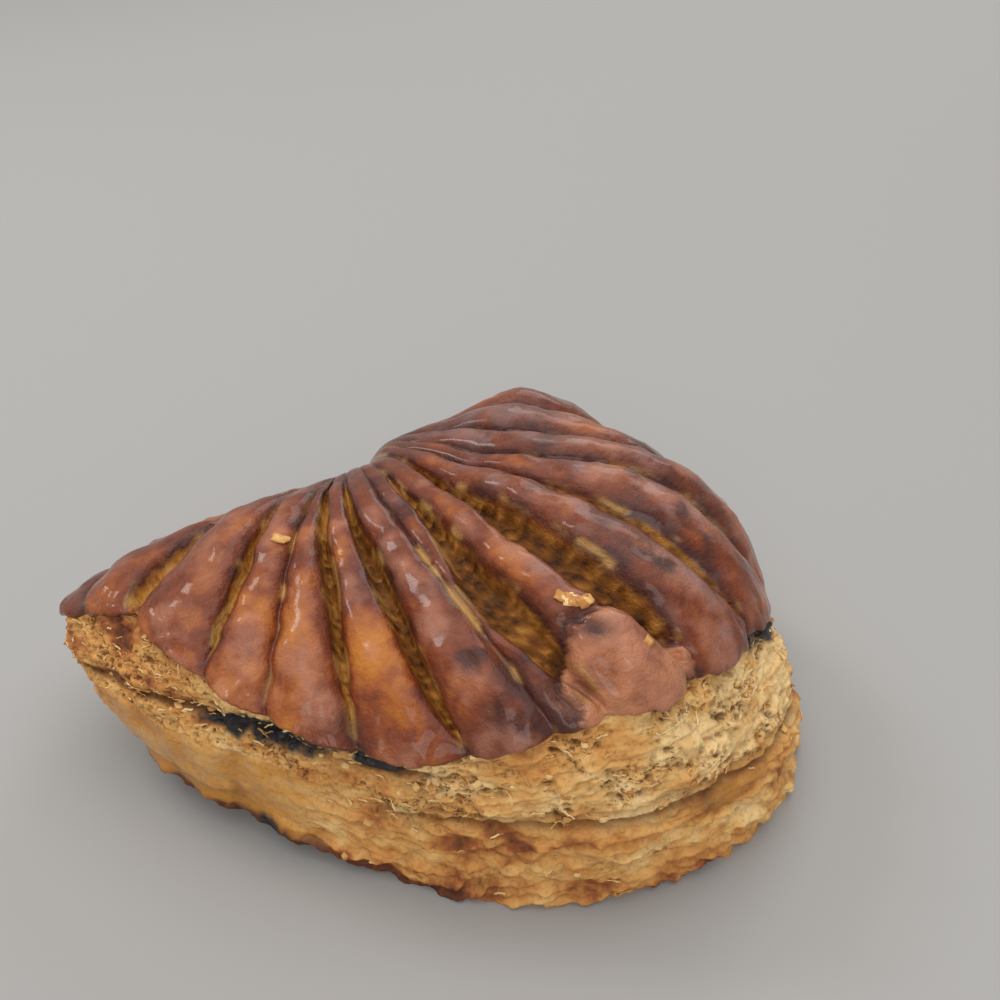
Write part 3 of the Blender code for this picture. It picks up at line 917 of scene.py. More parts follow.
@dataclass
class Sole:
    """The flat, browned underside.

    Attributes:
        form: The pastry's form.
        rows: Rings from the edge to the middle.
        dip: How far the sole's uneven middle stands off the tray.
        seed: Which unevenness to draw.
    """

    form: PastryForm
    rows: int = 40
    dip: float = 0.35
    seed: int = 701

    def build(self, edge: Array) -> bpy.types.Object:
        """Lay out the sole inside the ring where the side meets it.

        Args:
            edge: The ring of points at the sole's edge.

        Returns:
            The sole.
        """
        ring = edge[::3]
        share = np.linspace(0.0, 1.0, self.rows)
        middle = np.array([0.0, -20.0, 0.0])
        points = ring[:, None] * (1 - share)[None, :, None] + middle * share[None, :, None]
        lumps = 0.5 + 0.5 * Grain.rough(points, (12.0, 12.0, 12.0), self.seed, 5)
        rise = self.dip * lumps * smooth_step(0.0, 0.08, share)[None]
        points[..., 2] = np.maximum(rise, 0.0)
        brown = np.clip(0.5 + 0.45 * Grain.rough(points, (14.0, 14.0, 14.0), self.seed + 5, 5), 0, 1)
        points[:, -1] = points[:, -1].mean(axis=0)
        return grid_mesh("baked_sole", points, {"brown": brown}, self.form, True)


class Graph:
    """A short way to lay out a material's nodes."""

    def __init__(self, name: str) -> None:
        """Start a material with its shader.

        Args:
            name: Name of the material.
        """
        self.material = bpy.data.materials.new(name)
        self.material.use_nodes = True
        self.tree = self.material.node_tree
        self.shader = self.tree.nodes["Principled BSDF"]
        self.place = self.tree.nodes.new("ShaderNodeTexCoord").outputs["Object"]

    def link(self, source: bpy.types.NodeSocket, target: bpy.types.NodeSocket) -> None:
        """Join two sockets."""
        self.tree.links.new(source, target)

    def mark(self, name: str) -> bpy.types.NodeSocket:
        """Return a point attribute of the piece."""
        node = self.tree.nodes.new("ShaderNodeAttribute")
        node.attribute_name = name
        return node.outputs["Fac"]

    def noise(self, scale: float, detail: float = 4.0, rough: float = 0.55) -> bpy.types.NodeSocket:
        """Return noise with this many lumps to the metre."""
        node = self.tree.nodes.new("ShaderNodeTexNoise")
        node.inputs["Scale"].default_value = scale
        node.inputs["Detail"].default_value = detail
        node.inputs["Roughness"].default_value = rough
        self.link(self.place, node.inputs["Vector"])
        return node.outputs["Fac"]

    def pits(self, scale: float, share: float) -> bpy.types.NodeSocket:
        """Return small ragged pits, from 0 between them to 1 in their middles.

        Args:
            scale: How many pits to the metre.
            share: Share of the pits that stay closed.

        Returns:
            How deep each place lies in a pit.
        """
        ripple = self.tree.nodes.new("ShaderNodeTexNoise")
        ripple.inputs["Scale"].default_value = 1.3 * scale
        self.link(self.place, ripple.inputs["Vector"])
        shift = self.tree.nodes.new("ShaderNodeVectorMath")
        shift.operation = "MULTIPLY_ADD"
        self.link(ripple.outputs["Color"], shift.inputs[0])
        shift.inputs[1].default_value = (1.4 / scale,) * 3
        self.link(self.place, shift.inputs[2])
        cells = self.tree.nodes.new("ShaderNodeTexVoronoi")
        cells.inputs["Scale"].default_value = scale
        self.link(shift.outputs[0], cells.inputs["Vector"])
        split = self.tree.nodes.new("ShaderNodeSeparateColor")
        self.link(cells.outputs["Color"], split.inputs[0])
        opened = self.math("GREATER_THAN", split.outputs[0], share)
        return self.math("MULTIPLY", opened, self.span(cells.outputs["Distance"], 0.16, 0.42, 1.0, 0.0), True)

    def math(
        self, kind: str, first: bpy.types.NodeSocket, second: bpy.types.NodeSocket | float, clamp: bool = False
    ) -> bpy.types.NodeSocket:
        """Combine two numbers.

        Args:
            kind: The operation.
            first: The first number.
            second: The second number, a socket or a value.
            clamp: True to keep the result from 0 to 1.

        Returns:
            The result.
        """
        node = self.tree.nodes.new("ShaderNodeMath")
        node.operation = kind
        node.use_clamp = clamp
        self.link(first, node.inputs[0])
        if isinstance(second, (int, float)):
            node.inputs[1].default_value = second
        else:
            self.link(second, node.inputs[1])
        return node.outputs[0]

    def ramp(self, value: bpy.types.NodeSocket, stops: tuple[tuple[float, tuple[float, float, float]], ...]) -> bpy.types.NodeSocket:
        """Return a colour that runs through stops.

        Args:
            value: Where to read the ramp.
            stops: Places and colours along the ramp.

        Returns:
            The colour.
        """
        node = self.tree.nodes.new("ShaderNodeValToRGB")
        ramp = node.color_ramp
        for _ in stops[2:]:
            ramp.elements.new(0.5)
        for element, (place, colour) in zip(ramp.elements, stops):
            element.position = place
            element.color = (*colour, 1.0)
        self.link(value, node.inputs["Fac"])
        return node.outputs["Color"]

    def span(self, value: bpy.types.NodeSocket, low: float, high: float, start: float, end: float) -> bpy.types.NodeSocket:
        """Return the value moved from one range to another."""
        node = self.tree.nodes.new("ShaderNodeMapRange")
        for name, number in (("From Min", low), ("From Max", high), ("To Min", start), ("To Max", end)):
            node.inputs[name].default_value = number
        self.link(value, node.inputs["Value"])
        return node.outputs["Result"]

    def mix(
        self,
        share: bpy.types.NodeSocket,
        first: bpy.types.NodeSocket,
        second: bpy.types.NodeSocket | tuple[float, float, float],
        kind: str = "MIX",
    ) -> bpy.types.NodeSocket:
        """Blend two colours.

        Args:
            share: How much of the second colour.
            first: The first colour.
            second: The second colour, a socket or a value.
            kind: How the colours blend.

        Returns:
            The blended colour.
        """
        node = self.tree.nodes.new("ShaderNodeMix")
        node.data_type = "RGBA"
        node.blend_type = kind
        self.link(share, node.inputs[0])
        self.link(first, node.inputs[6])
        if isinstance(second, tuple):
            node.inputs[7].default_value = (*second, 1.0)
        else:
            self.link(second, node.inputs[7])
        return node.outputs[2]

    def bump(self, height: bpy.types.NodeSocket, depth: float, strength: float = 1.0) -> None:
        """Raise fine relief, depth being its height in metres."""
        node = self.tree.nodes.new("ShaderNodeBump")
        node.inputs["Strength"].default_value = strength
        node.inputs["Distance"].default_value = depth
        self.link(height, node.inputs["Height"])
        self.link(node.outputs["Normal"], self.shader.inputs["Normal"])


@dataclass(frozen=True)
class FlakeShape:
    """One torn bit of pastry, as a thin bent slab.

    Attributes:
        size: Length, width and thickness in metres.
        cuts: Points along its length, width and thickness.
        bend: How far it is bent out of flat, in metres.
        ripple: Ripples to the metre.
    """

    size: tuple[float, float, float]
    cuts: tuple[int, int, int]
    bend: float
    ripple: float


class Scatter:
    """A node tree that strews torn bits over a piece, thickest where its mark is high."""

    LEAF = FlakeShape((0.0026, 0.0015, 0.00022), (5, 4, 2), 0.0009, 620.0)
    STRAND = FlakeShape((0.0042, 0.0005, 0.00034), (7, 2, 2), 0.0013, 480.0)

    def __init__(self, name: str, shapes: tuple[FlakeShape, ...]) -> None:
        """Lay out the tree.

        Args:
            name: Name of the tree.
            shapes: The bits to strew.
        """
        self.tree = bpy.data.node_groups.new(name, "GeometryNodeTree")
        inputs = (
            ("Geometry", "NodeSocketGeometry"),
            ("Density", "NodeSocketFloat"),
            ("Smallest", "NodeSocketFloat"),
            ("Largest", "NodeSocketFloat"),
            ("Tilt", "NodeSocketFloat"),
            ("Seed", "NodeSocketInt"),
            ("Material", "NodeSocketMaterial"),
        )
        for label, kind in inputs:
            self.tree.interface.new_socket(label, in_out="INPUT", socket_type=kind)
        self.tree.interface.new_socket("Geometry", in_out="OUTPUT", socket_type="NodeSocketGeometry")
        self.given = self.tree.nodes.new("NodeGroupInput").outputs
        points, normal = self.strewn()
        instances = self.placed(points, self.turned(normal), self.bits(shapes))
        done = self.node("GeometryNodeSetMaterial", Geometry=instances, Material=self.given["Material"])
        finish = self.tree.nodes.new("NodeGroupOutput")
        self.tree.links.new(done.outputs[0], finish.inputs["Geometry"])

    def node(self, kind: str, **inputs: object) -> bpy.types.Node:
        """Add a node.

        Args:
            kind: The node's type.
            **inputs: Sockets to join or values to set, by the input's name.

        Returns:
            The node.
        """
        node = self.tree.nodes.new(kind)
        for label, value in inputs.items():
            self.feed(node, label.replace("_", " "), value)
        return node

    def feed(self, node: bpy.types.Node, label: str | int, value: object) -> None:
        """Join a socket to an input, or set the input's value."""
        if isinstance(value, bpy.types.NodeSocket):
            self.tree.links.new(value, node.inputs[label])
        else:
            node.inputs[label].default_value = value

    def strewn(self) -> tuple[bpy.types.NodeSocket, bpy.types.NodeSocket]:
        """Return the points strewn over the piece, and the surface's normal at each."""
        mark = self.node("GeometryNodeInputNamedAttribute", Name="flaky")
        thick = self.tree.nodes.new("ShaderNodeMath")
        thick.operation = "MULTIPLY"
        self.feed(thick, 0, mark.outputs["Attribute"])
        self.feed(thick, 1, self.given["Density"])
        spread = self.node(
            "GeometryNodeDistributePointsOnFaces",
            Mesh=self.given["Geometry"], Density=thick.outputs[0], Seed=self.given["Seed"],
        )
        return spread.outputs["Points"], spread.outputs["Normal"]

    def random(self, kind: str, low: object, high: object, shift: int) -> bpy.types.NodeSocket:
        """Return a random value for each point.

        Args:
            kind: The value's type.
            low: The least value.
            high: The greatest value.
            shift: Which draw to make.

        Returns:
            The value.
        """
        node = self.tree.nodes.new("FunctionNodeRandomValue")
        node.data_type = kind
        sockets = [socket for socket in node.inputs if socket.enabled]
        for socket, value in zip(sockets, (low, high)):
            if isinstance(value, bpy.types.NodeSocket):
                self.tree.links.new(value, socket)
            else:
                socket.default_value = value
        add = self.tree.nodes.new("ShaderNodeMath")
        self.feed(add, 0, self.given["Seed"])
        self.feed(add, 1, float(shift))
        self.feed(node, "Seed", add.outputs[0])
        return next(socket for socket in node.outputs if socket.enabled)

    def turned(self, normal: bpy.types.NodeSocket) -> bpy.types.NodeSocket:
        """Return each bit's rotation: flat on the surface, lying level, then tilted a little."""
        flat = self.node("FunctionNodeAlignRotationToVector", Vector=normal)
        flat.axis = "Z"
        level = self.tree.nodes.new("ShaderNodeVectorMath")
        level.operation = "CROSS_PRODUCT"
        self.feed(level, 0, normal)
        self.feed(level, 1, (0.03, 0.0, 1.0))
        along = self.node("FunctionNodeAlignRotationToVector", Rotation=flat.outputs[0], Vector=level.outputs[0])
        along.axis = "X"
        along.pivot_axis = "Z"
        spin = self.random("FLOAT_VECTOR", (-1.0, -1.0, -2.6), (1.0, 1.0, 2.6), 11)
        scale = self.tree.nodes.new("ShaderNodeVectorMath")
        scale.operation = "SCALE"
        self.feed(scale, 0, spin)
        self.feed(scale, "Scale", self.given["Tilt"])
        tilt = self.node("FunctionNodeRotateRotation", Rotation=along.outputs[0], Rotate_By=scale.outputs[0])
        tilt.rotation_space = "LOCAL"
        return tilt.outputs[0]

    def bits(self, shapes: tuple[FlakeShape, ...]) -> bpy.types.NodeSocket:
        """Return the bits to pick from."""
        every = self.tree.nodes.new("GeometryNodeGeometryToInstance")
        for number, shape in enumerate(shapes):
            slab = self.node("GeometryNodeMeshCube", Size=shape.size)
            for label, count in zip(("Vertices X", "Vertices Y", "Vertices Z"), shape.cuts):
                slab.inputs[label].default_value = count
            ripple = self.node("ShaderNodeTexNoise", Scale=shape.ripple, Detail=2.0)
            ripple.noise_dimensions = "4D"
            ripple.inputs["W"].default_value = 3.7 * number + 1.3
            shift = self.tree.nodes.new("ShaderNodeVectorMath")
            shift.operation = "SUBTRACT"
            self.feed(shift, 0, ripple.outputs["Color"])
            self.feed(shift, 1, (0.5, 0.5, 0.5))
            scale = self.tree.nodes.new("ShaderNodeVectorMath")
            scale.operation = "SCALE"
            self.feed(scale, 0, shift.outputs[0])
            scale.inputs["Scale"].default_value = 2.0 * shape.bend
            bent = self.node("GeometryNodeSetPosition", Geometry=slab.outputs["Mesh"], Offset=scale.outputs[0])
            self.tree.links.new(bent.outputs[0], every.inputs[0])
        return every.outputs[0]

    def placed(
        self, points: bpy.types.NodeSocket, turn: bpy.types.NodeSocket, bits: bpy.types.NodeSocket
    ) -> bpy.types.NodeSocket:
        """Set the bits on the points.

        Args:
            points: Where the bits lie.
            turn: Their rotations.
            bits: The bits to pick from.

        Returns:
            The bits as one mesh, each with its own tone.
        """
        size = self.random("FLOAT", self.given["Smallest"], self.given["Largest"], 5)
        put = self.node("GeometryNodeInstanceOnPoints", Points=points, Instance=bits, Rotation=turn, Scale=size)
        put.inputs["Pick Instance"].default_value = True
        self.feed(put, "Instance Index", self.random("INT", 0, 7, 3))
        toned = self.node("GeometryNodeStoreNamedAttribute", Geometry=put.outputs[0], Name="tone")
        toned.data_type = "FLOAT"
        toned.domain = "INSTANCE"
        self.feed(toned, "Value", self.random("FLOAT", 0.0, 1.0, 7))
        return self.node("GeometryNodeRealizeInstances", Geometry=toned.outputs[0]).outputs[0]

    def strew(
        self, name: str, seat: bpy.types.Object, settings: dict[str, float], material: bpy.types.Material
    ) -> bpy.types.Object:
        """Strew the bits over a piece.

        Args:
            name: Name of the new piece.
            seat: The piece that they lie on.
            settings: The tree's inputs by name.
            material: Their finish.

        Returns:
            The bits as a piece of their own.
        """
        stand_in = bpy.data.objects.new(name + "_seat", seat.data.copy())
        bpy.context.scene.collection.objects.link(stand_in)
        modifier = stand_in.modifiers.new("scatter", "NODES")
        modifier.node_group = self.tree
        for item in self.tree.interface.items_tree:
            if item.in_out == "INPUT" and item.name in settings:
                modifier[item.identifier] = settings[item.name]
            elif item.in_out == "INPUT" and item.name == "Material":
                modifier[item.identifier] = material
        graph = bpy.context.evaluated_depsgraph_get()
        mesh = bpy.data.meshes.new_from_object(stand_in.evaluated_get(graph), depsgraph=graph)
        mesh.name = name
        stand_in.modifiers.clear()
        bpy.data.objects.remove(stand_in)
        mesh.materials.clear()
        mesh.shade_smooth()
        piece = bpy.data.objects.new(name, mesh)
        bpy.context.scene.collection.objects.link(piece)
        return piece


@dataclass(frozen=True)
class CrumbFinish:
    """Pale, dry bits of torn pastry."""

    cream: tuple[float, float, float] = (0.92, 0.68, 0.34)
    wheat: tuple[float, float, float] = (0.78, 0.46, 0.16)
    toast: tuple[float, float, float] = (0.50, 0.21, 0.055)

    def make(self) -> bpy.types.Material:
        """Return the material."""
        g = Graph("cut_crumb")
        tone = g.math("ADD", g.mark("tone"), g.span(g.noise(900.0, 3.0), 0.3, 0.7, -0.2, 0.2), True)
        colour = g.ramp(tone, ((0.0, self.cream), (0.5, self.wheat), (1.0, self.toast)))
        g.link(colour, g.shader.inputs["Base Color"])
        g.link(g.span(g.noise(300.0, 2.0), 0.3, 0.7, 0.5, 0.75), g.shader.inputs["Roughness"])
        g.shader.inputs["Specular IOR Level"].default_value = 0.3
        g.bump(g.noise(2500.0, 3.0), 0.0001, 0.5)
        return g.material


@dataclass(frozen=True)
class CrustFinish:
    """Glazed, baked crust: reddish brown ridges with painted pink and lilac highlights, golden cuts whose floors darken
    with depth as painted shade, painted shade along the creases and under the lip, and char that also paints shade into
    the lobe's dent and groove.
    """

    gold: tuple[float, float, float] = (0.50, 0.170, 0.018)
    copper: tuple[float, float, float] = (0.345, 0.095, 0.018)
    russet: tuple[float, float, float] = (0.195, 0.040, 0.010)
    plum: tuple[float, float, float] = (0.066, 0.017, 0.012)
    floor_pale: tuple[float, float, float] = (0.46, 0.205, 0.036)
    floor_olive: tuple[float, float, float] = (0.190, 0.064, 0.007)
    # Painted shade: the darkest floor colour, for the deepest parts of the cuts.
    floor_shade: tuple[float, float, float] = (0.045, 0.013, 0.002)
    cut_edge: tuple[float, float, float] = (0.60, 0.33, 0.10)
    # Painted highlight: pink sheen along the ridge crests.
    painted_highlight: tuple[float, float, float] = (0.49, 0.205, 0.125)
    # Painted highlight: greyish-lilac sheen in patches.
    painted_lilac_highlight: tuple[float, float, float] = (0.30, 0.165, 0.150)
    salmon: tuple[float, float, float] = (0.49, 0.195, 0.094)
    # Char colour, which also paints shade into the lobe's dent and groove.
    scorch_and_shade: tuple[float, float, float] = (0.035, 0.014, 0.014)
    coat: float = 0.6

    def make(self) -> bpy.types.Material:
        """Return the material."""
        g = Graph("browned_crust")
        bake = g.mark("bake")
        fine = g.noise(420.0, 5.0, 0.6)
        bake = g.math("ADD", bake, g.span(fine, 0.2, 0.8, -0.14, 0.14), True)
        skin = g.ramp(bake, ((0.0, self.gold), (0.3, self.copper), (0.55, self.russet), (1.0, self.plum)))
        skin = g.mix(g.mark("salmon_tint"), skin, self.salmon)
        # Painted highlight: pink sheen along the crests.
        skin = g.mix(g.mark("painted_sheen"), skin, self.painted_highlight)
        # Painted highlight: lilac sheen in patches.
        skin = g.mix(g.mark("painted_lilac_sheen"), skin, self.painted_lilac_highlight)
        # The cut's floor darkens with depth as painted shade, on top of its own streaky tone.
        deep = g.math("ADD", g.mark("floor"), g.span(g.noise(420.0, 5.0), 0.25, 0.75, -0.09, 0.09), True)
        floor = g.ramp(deep, ((0.0, self.floor_pale), (0.5, self.floor_olive), (1.0, self.floor_shade)))
        colour = g.mix(g.mark("open"), skin, floor)
        colour = g.mix(g.mark("pale_edge"), colour, self.cut_edge)
        # The char mark holds real char spots and painted shade in the lobe's dent and groove.
        colour = g.mix(g.mark("char"), colour, self.scorch_and_shade)
        g.link(colour, g.shader.inputs["Base Color"])
        gloss = g.span(g.noise(260.0, 4.0), 0.3, 0.7, 0.28, 0.5)
        gloss = g.math("ADD", gloss, g.math("MULTIPLY", g.mark("open"), 0.3), True)
        g.link(gloss, g.shader.inputs["Roughness"])
        g.link(g.span(g.mark("open"), 0.0, 1.0, self.coat, 0.05), g.shader.inputs["Coat Weight"])
        g.shader.inputs["Coat Roughness"].default_value = 0.14
        g.shader.inputs["Coat IOR"].default_value = 1.36
        g.shader.inputs["Specular IOR Level"].default_value = 0.16
        grain = g.math("ADD", g.noise(800.0, 5.0, 0.6), g.math("MULTIPLY", g.noise(2400.0, 4.0), 0.25))
        grain = g.math("ADD", grain, g.math("MULTIPLY", g.noise(300.0, 3.0, 0.6), 2.4))
        g.bump(grain, 0.0008, 0.6)
        return g.material


@dataclass(frozen=True)
class LayerFinish:
    """Torn pastry layers: pale gold leaves, painted shade in the crevices, pores and seams, char where the oven bit."""

    cream: tuple[float, float, float] = (0.90, 0.63, 0.290)
    wheat: tuple[float, float, float] = (0.76, 0.430, 0.140)
    amber: tuple[float, float, float] = (0.64, 0.290, 0.075)
    toast: tuple[float, float, float] = (0.36, 0.110, 0.030)
    umber: tuple[float, float, float] = (0.11, 0.030, 0.012)
    # Painted shade for the pores, the crevices between the leaves and the seams.
    crevice_shade: tuple[float, float, float] = (0.12, 0.040, 0.010)
    honey: tuple[float, float, float] = (0.62, 0.265, 0.024)
    char: tuple[float, float, float] = (0.020, 0.017, 0.018)

    def make(self) -> bpy.types.Material:
        """Return the material."""
        g = Graph("layered_side")
        brown = g.math("ADD", g.mark("brown"), g.span(g.noise(420.0, 4.0, 0.55), 0.3, 0.7, -0.1, 0.1), True)
        colour = g.ramp(
            brown, ((0.0, self.cream), (0.3, self.wheat), (0.58, self.amber), (0.8, self.toast), (1.0, self.umber))
        )
        colour = g.mix(g.math("MULTIPLY", g.mark("glossy"), 0.72), colour, self.honey)
        # Painted shade: noise pores and small pits, added to the hollow mark.
        pores = g.span(g.noise(1100.0, 3.0, 0.6), 0.5, 0.34, -0.02, 0.3)
        hollow_shade = g.math("ADD", g.mark("hollow_shade"), pores, True)
        tiny = g.math("MULTIPLY", g.math("MAXIMUM", g.pits(620.0, 0.5), g.pits(1100.0, 0.45)), g.mark("porous"))
        hollow_shade = g.math("ADD", hollow_shade, tiny, True)
        # Painted shade in the pores and crevices.
        colour = g.mix(g.math("MULTIPLY", hollow_shade, 0.85, True), colour, self.crevice_shade)
        # Painted shade along the seam grooves.
        colour = g.mix(g.math("MULTIPLY", g.mark("seam"), 0.85), colour, self.crevice_shade)
        colour = g.mix(g.mark("char"), colour, self.char)
        g.link(colour, g.shader.inputs["Base Color"])
        gloss = g.span(g.noise(200.0, 3.0), 0.3, 0.7, 0.55, 0.75)
        gloss = g.math("SUBTRACT", gloss, g.math("MULTIPLY", g.mark("glossy"), 0.28), True)
        gloss = g.math("SUBTRACT", gloss, g.math("MULTIPLY", g.mark("char"), 0.3), True)
        g.link(gloss, g.shader.inputs["Roughness"])
        grain = g.math("ADD", g.noise(1100.0, 6.0, 0.7), g.math("MULTIPLY", g.noise(3000.0, 3.0), 0.4))
        grain = g.math("SUBTRACT", grain, g.math("MULTIPLY", tiny, 1.6))
        g.shader.inputs["Specular IOR Level"].default_value = 0.3
        g.link(g.span(g.mark("glossy"), 0.0, 1.0, 0.0, 0.5), g.shader.inputs["Coat Weight"])
        g.shader.inputs["Coat Roughness"].default_value = 0.15
        g.bump(grain, 0.00045, 0.4)
        return g.material


@dataclass(frozen=True)
class SoleFinish:
    """The tray side: even brown with paler, matt blotches."""

    wheat: tuple[float, float, float] = (0.43, 0.20, 0.065)
    toast: tuple[float, float, float] = (0.25, 0.09, 0.03)
    umber: tuple[float, float, float] = (0.10, 0.038, 0.018)

    def make(self) -> bpy.types.Material:
        """Return the material."""
        g = Graph("baked_sole")
        brown = g.math("ADD", g.mark("brown"), g.span(g.noise(600.0, 5.0), 0.25, 0.75, -0.18, 0.18), True)
        g.link(
            g.ramp(brown, ((0.0, self.wheat), (0.55, self.toast), (1.0, self.umber))), g.shader.inputs["Base Color"]
        )
        g.link(g.span(g.noise(240.0, 3.0), 0.3, 0.7, 0.55, 0.8), g.shader.inputs["Roughness"])
        g.bump(g.noise(900.0, 6.0, 0.7), 0.0004, 0.6)
        return g.material


@dataclass
class Baking:
    """How the oven coloured the crust, with painted highlights on the ridges and painted shade in the creases, under
    the lip, in the cuts' floors and in the lobe's dent and groove.

    Attributes:
        form: The pastry's form.
        seed: Which mottling to draw.
    """

    form: PastryForm
    seed: int = 901

    def colour(self, crust: Crust, points: Array) -> dict[str, Array]:
        """Work out the marks that the crust's finish reads.

        Args:
            crust: The crust, with its own marks.
            points: Its points in millimetres.

        Returns:
            The marks by name.
        """
        m = crust.marks
        angle = np.mod(np.degrees(np.arctan2(points[..., 1], points[..., 0])), TURN)
        mottle = Grain.rough(points, (4.5, 4.5, 4.5), self.seed + 9, 4)
        blotch = Grain.rough(points, (13.0, 13.0, 13.0), self.seed, 5)
        bake = 0.58 + 0.38 * blotch + 0.26 * mottle - 0.06 * m["ridge"] - 0.1 * m["pulled"]
        # Painted shade: darker along the creases beside the cuts, and painted shadow on the rows that curl in below the
        # lip.
        bake += 0.38 * m["crease"] * (1 - m["slot"]) + 0.35 * m["under"]
        bake += self.spot(points, (-9.0, -69.0, 48.0), 9.0) * 0.4
        bake -= self.spot(points, (-30.0, -40.0, 49.0), 9.0) * 0.45
        bake += 0.08 * smooth_step(0.0, 35.0, points[..., 0])
        bake -= self.spot(points, (-41.0, -20.0, 51.0), 8.0) * 0.35
        lower_fold = turn_hill(angle, 95.0, 38.0) * smooth_step(34.0, 22.0, points[..., 2])
        lower_fold = lower_fold * smooth_step(0.0, 12.0, points[..., 1])
        bake -= 0.5 * lower_fold
        pale_fold = 0.8 * lower_fold * smooth_step(-0.35, 0.3, mottle + 0.6 * blotch)
        streak = Grain.rough(points, (5.0, 5.0, 5.0), self.seed + 30, 3)
        veil = Grain.rough(points, (7.0, 7.0, 7.0), self.seed + 71, 5)
        crest = m["belly"] * smooth_step(0.1, 0.4, m["share"])
        # Painted highlight: a pink sheen along the ridge crests, fainter towards the back.
        painted_sheen = smooth_step(0.35, 1.25, 0.75 * crest + 0.9 * veil + 0.25 * m["pulled"]) * m["ridge"] * 0.62
        painted_sheen = painted_sheen * (1.0 - 0.6 * smooth_step(-12.0, 10.0, points[..., 1]))
        dusk = Grain.rough(points, (6.0, 6.0, 6.0), self.seed + 83, 4)
        # Painted highlight: a greyish-lilac sheen in patches on the ridges, towards the right.
        painted_lilac_sheen = smooth_step(0.1, 0.6, dusk) * m["ridge"] * smooth_step(-30.0, 15.0, points[..., 0]) * 0.55
        spots = sum(self.spot(points, at, 3.2) for at in ((37, -42, 57), (39, -48, 54), (23, -55, 58), (34, -31, 61)))
        spots = spots + sum(self.spot(points, at, 3.0) for at in ((-63.5, 6.3, 48), (39.5, 29.5, 46), (-18, -53, 51)))
        ragged = 0.75 + 1.5 * Grain.rough(points, (3.2, 3.2, 3.2), self.seed + 50, 4)
        bottom = turn_hill(angle, 26.0, 9.0) * smooth_step(16.0, 6.0, points[..., 2])
        fibre = Grain.rough(points, (2.4, 2.4, 2.4), self.seed + 61, 4)
        pale_tip = 0.55 * turn_hill(angle, 176.0, 14.0)
        dim = 0.35 * Grain.rough(points, (8.0, 8.0, 8.0), self.seed + 62, 3)
        # The deep term is painted shade that darkens the cut's floor with depth; dim, strand and fibre are its own
        # streaky tone, and pale_tip makes it paler near the tip.
        floor = np.clip(0.1 + 0.8 * m["deep"] + dim + 0.7 * m["strand"] + 0.06 * fibre - pale_tip, 0, 1)
        places = ((2, -56, 59), (3.5, -57, 58.5), (-36, -4, 52), (35, 29.5, 47), (20.6, -18, 57), (9, -66, 54))
        flaky = sum(np.exp(-(((points - np.array(at)) ** 2).sum(axis=-1)) / 2.0**2) for at in places)
        return {
            "flaky": np.clip(smooth_step(0.3, 0.7, flaky), 0, 1) + 0.012 * (m["ridge"] > 2.0),
            "bake": np.clip(bake, 0, 1),
            "painted_sheen": np.clip(painted_sheen, 0, 1),
            "painted_lilac_sheen": np.clip(painted_lilac_sheen * (1 - m["salmon"]), 0, 1),
            "salmon_tint": np.clip(m["salmon"] * (0.72 - 0.85 * mottle) * (1 - m["dent"]), 0, 1),
            "floor": floor,
            "open": smooth_step(0.18, 0.6, m["slot"] + 0.12 * fibre),
            "pale_edge": np.clip(m["edge"] * 0.75 * smooth_step(0.0, 0.45, streak) + pale_fold, 0, 1),
            # Char spots and the charred bottom end are the crust's own colour; the dent term is painted shade in the
            # dent and the groove round the lobe.
            "char": np.clip(smooth_step(0.25, 0.9, spots * ragged) * 0.75 + 0.8 * bottom + 0.9 * m["dent"], 0, 1),
        }

    @staticmethod
    def spot(points: Array, place: tuple[float, float, float], size: float) -> Array:
        """Return a spot with a wandering edge about a place."""
        wander = 1.0 + 0.7 * Grain.rough(points, (0.9 * size, 0.9 * size, 0.9 * size), 977, 4)
        away = np.linalg.norm(points - np.array(place), axis=-1)
        return np.exp(-((away * wander / size) ** 2))


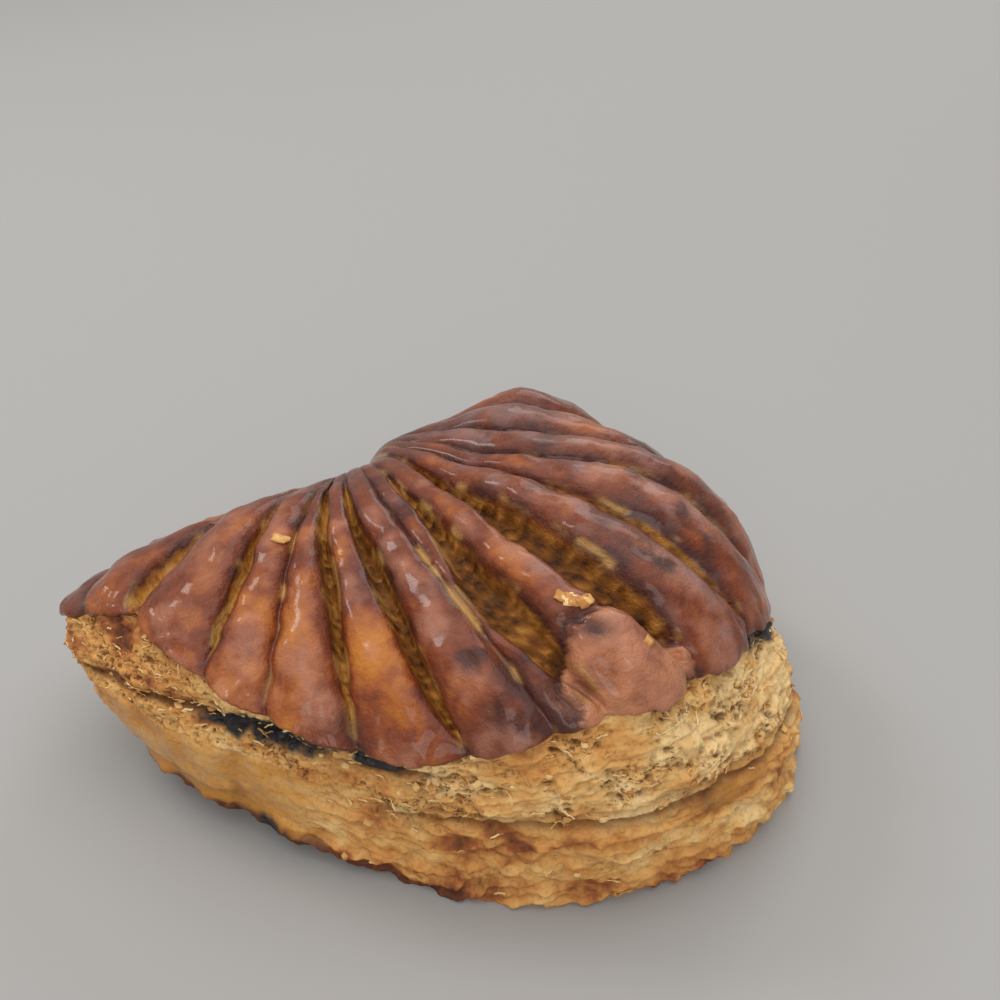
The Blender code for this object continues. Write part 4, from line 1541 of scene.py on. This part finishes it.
@dataclass(frozen=True)
class Studio:
    """Plain floor, soft light and the camera.

    Attributes:
        camera_at: Where the camera stands.
        camera_turn: Its turn in degrees.
        lens: Focal length on a 36 mm sensor.
    """

    camera_at: tuple[float, float, float] = (-0.0917, -0.1718, 0.1955)
    camera_turn: tuple[float, float, float] = (55.74, 0.0, -30.37)
    lens: float = 42.5
    floor_grey: tuple[float, float, float] = (0.385, 0.377, 0.366)

    def build(self) -> None:
        """Set up the floor, the lights and the camera."""
        self.floor()
        self.light("overhead", (0.0, 0.15, 1.9), 2.4, 21.2)
        self.light("window", (0.85, 0.75, 0.75), 0.6, 2.6)
        self.light("fill", (-0.6, -0.9, 0.7), 0.6, 3.8)
        self.light("glint", (-0.35, 0.55, 0.75), 0.22, 1.6)
        world = bpy.data.worlds.new("studio")
        world.use_nodes = True
        world.node_tree.nodes["Background"].inputs["Color"].default_value = (1.0, 0.985, 0.965, 1.0)
        world.node_tree.nodes["Background"].inputs["Strength"].default_value = 0.525
        bpy.context.scene.world = world
        data = bpy.data.cameras.new("camera")
        data.lens = self.lens
        data.sensor_width = 36.0
        data.clip_start = 0.01
        camera = bpy.data.objects.new("camera", data)
        camera.location = self.camera_at
        camera.rotation_euler = tuple(math.radians(turn) for turn in self.camera_turn)
        bpy.context.scene.collection.objects.link(camera)
        bpy.context.scene.camera = camera
        bpy.context.scene.view_settings.view_transform = "Standard"

    def floor(self) -> None:
        """Lay the pale floor."""
        mesh = bpy.data.meshes.new("floor")
        mesh.from_pydata([(-9, -9, 0), (9, -9, 0), (9, 9, 0), (-9, 9, 0)], [], [(0, 1, 2, 3)])
        floor = bpy.data.objects.new("floor", mesh)
        bpy.context.scene.collection.objects.link(floor)
        material = bpy.data.materials.new("floor")
        material.use_nodes = True
        shader = material.node_tree.nodes["Principled BSDF"]
        shader.inputs["Base Color"].default_value = (*self.floor_grey, 1.0)
        shader.inputs["Roughness"].default_value = 0.9
        shader.inputs["Specular IOR Level"].default_value = 0.1
        mesh.materials.append(material)

    def light(self, name: str, place: tuple[float, float, float], size: float, power: float) -> None:
        """Hang a soft light that faces the pastry.

        Args:
            name: Name of the light.
            place: Where it hangs.
            size: Width of its face.
            power: Its power in watts.
        """
        data = bpy.data.lights.new(name, "AREA")
        data.size = size
        data.energy = power
        lamp = bpy.data.objects.new(name, data)
        lamp.location = place
        aim = Vector((0.0, 0.0, 0.03)) - Vector(place)
        lamp.rotation_euler = aim.to_track_quat("-Z", "Y").to_euler()
        bpy.context.scene.collection.objects.link(lamp)


def dress(piece: bpy.types.Object, material: bpy.types.Material) -> None:
    """Give a piece its finish and seat it on the frame.

    Args:
        piece: The piece.
        material: Its finish.
    """
    piece.data.materials.append(material)
    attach(piece, "root")
    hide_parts("turnover")
    LOG.info("%s: %d faces", piece.name, len(piece.data.polygons))


def main() -> None:
    """Build every piece in order, then the studio."""
    logging.basicConfig(level=logging.INFO, format="%(name)s %(message)s")
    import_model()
    form = PastryForm()
    crust = Crust(form)
    shell, lip = crust.build()
    dress(shell, CrustFinish().make())
    layers, foot = LayeredSide(form).build(lip)
    leaf_finish = LayerFinish().make()
    for side in layers:
        dress(side, leaf_finish)
    crumb = CrumbFinish().make()
    torn = Scatter("torn_bits", (Scatter.LEAF, Scatter.STRAND, Scatter.STRAND))
    strands = {"Density": 110000.0, "Smallest": 0.3, "Largest": 0.8, "Tilt": 0.24, "Seed": 5}
    for side in layers:
        dress(torn.strew(side.name + "_bits", side, strands, crumb), crumb)
    flakes = Scatter("pale_flakes", (Scatter.LEAF,))
    specks = {"Density": 330000.0, "Smallest": 0.7, "Largest": 1.5, "Tilt": 0.12, "Seed": 9}
    dress(flakes.strew("crust_flakes", shell, specks, crumb), crumb)
    dress(Sole(form).build(foot), SoleFinish().make())
    Studio().build()


if __name__ == "__main__":
    main()
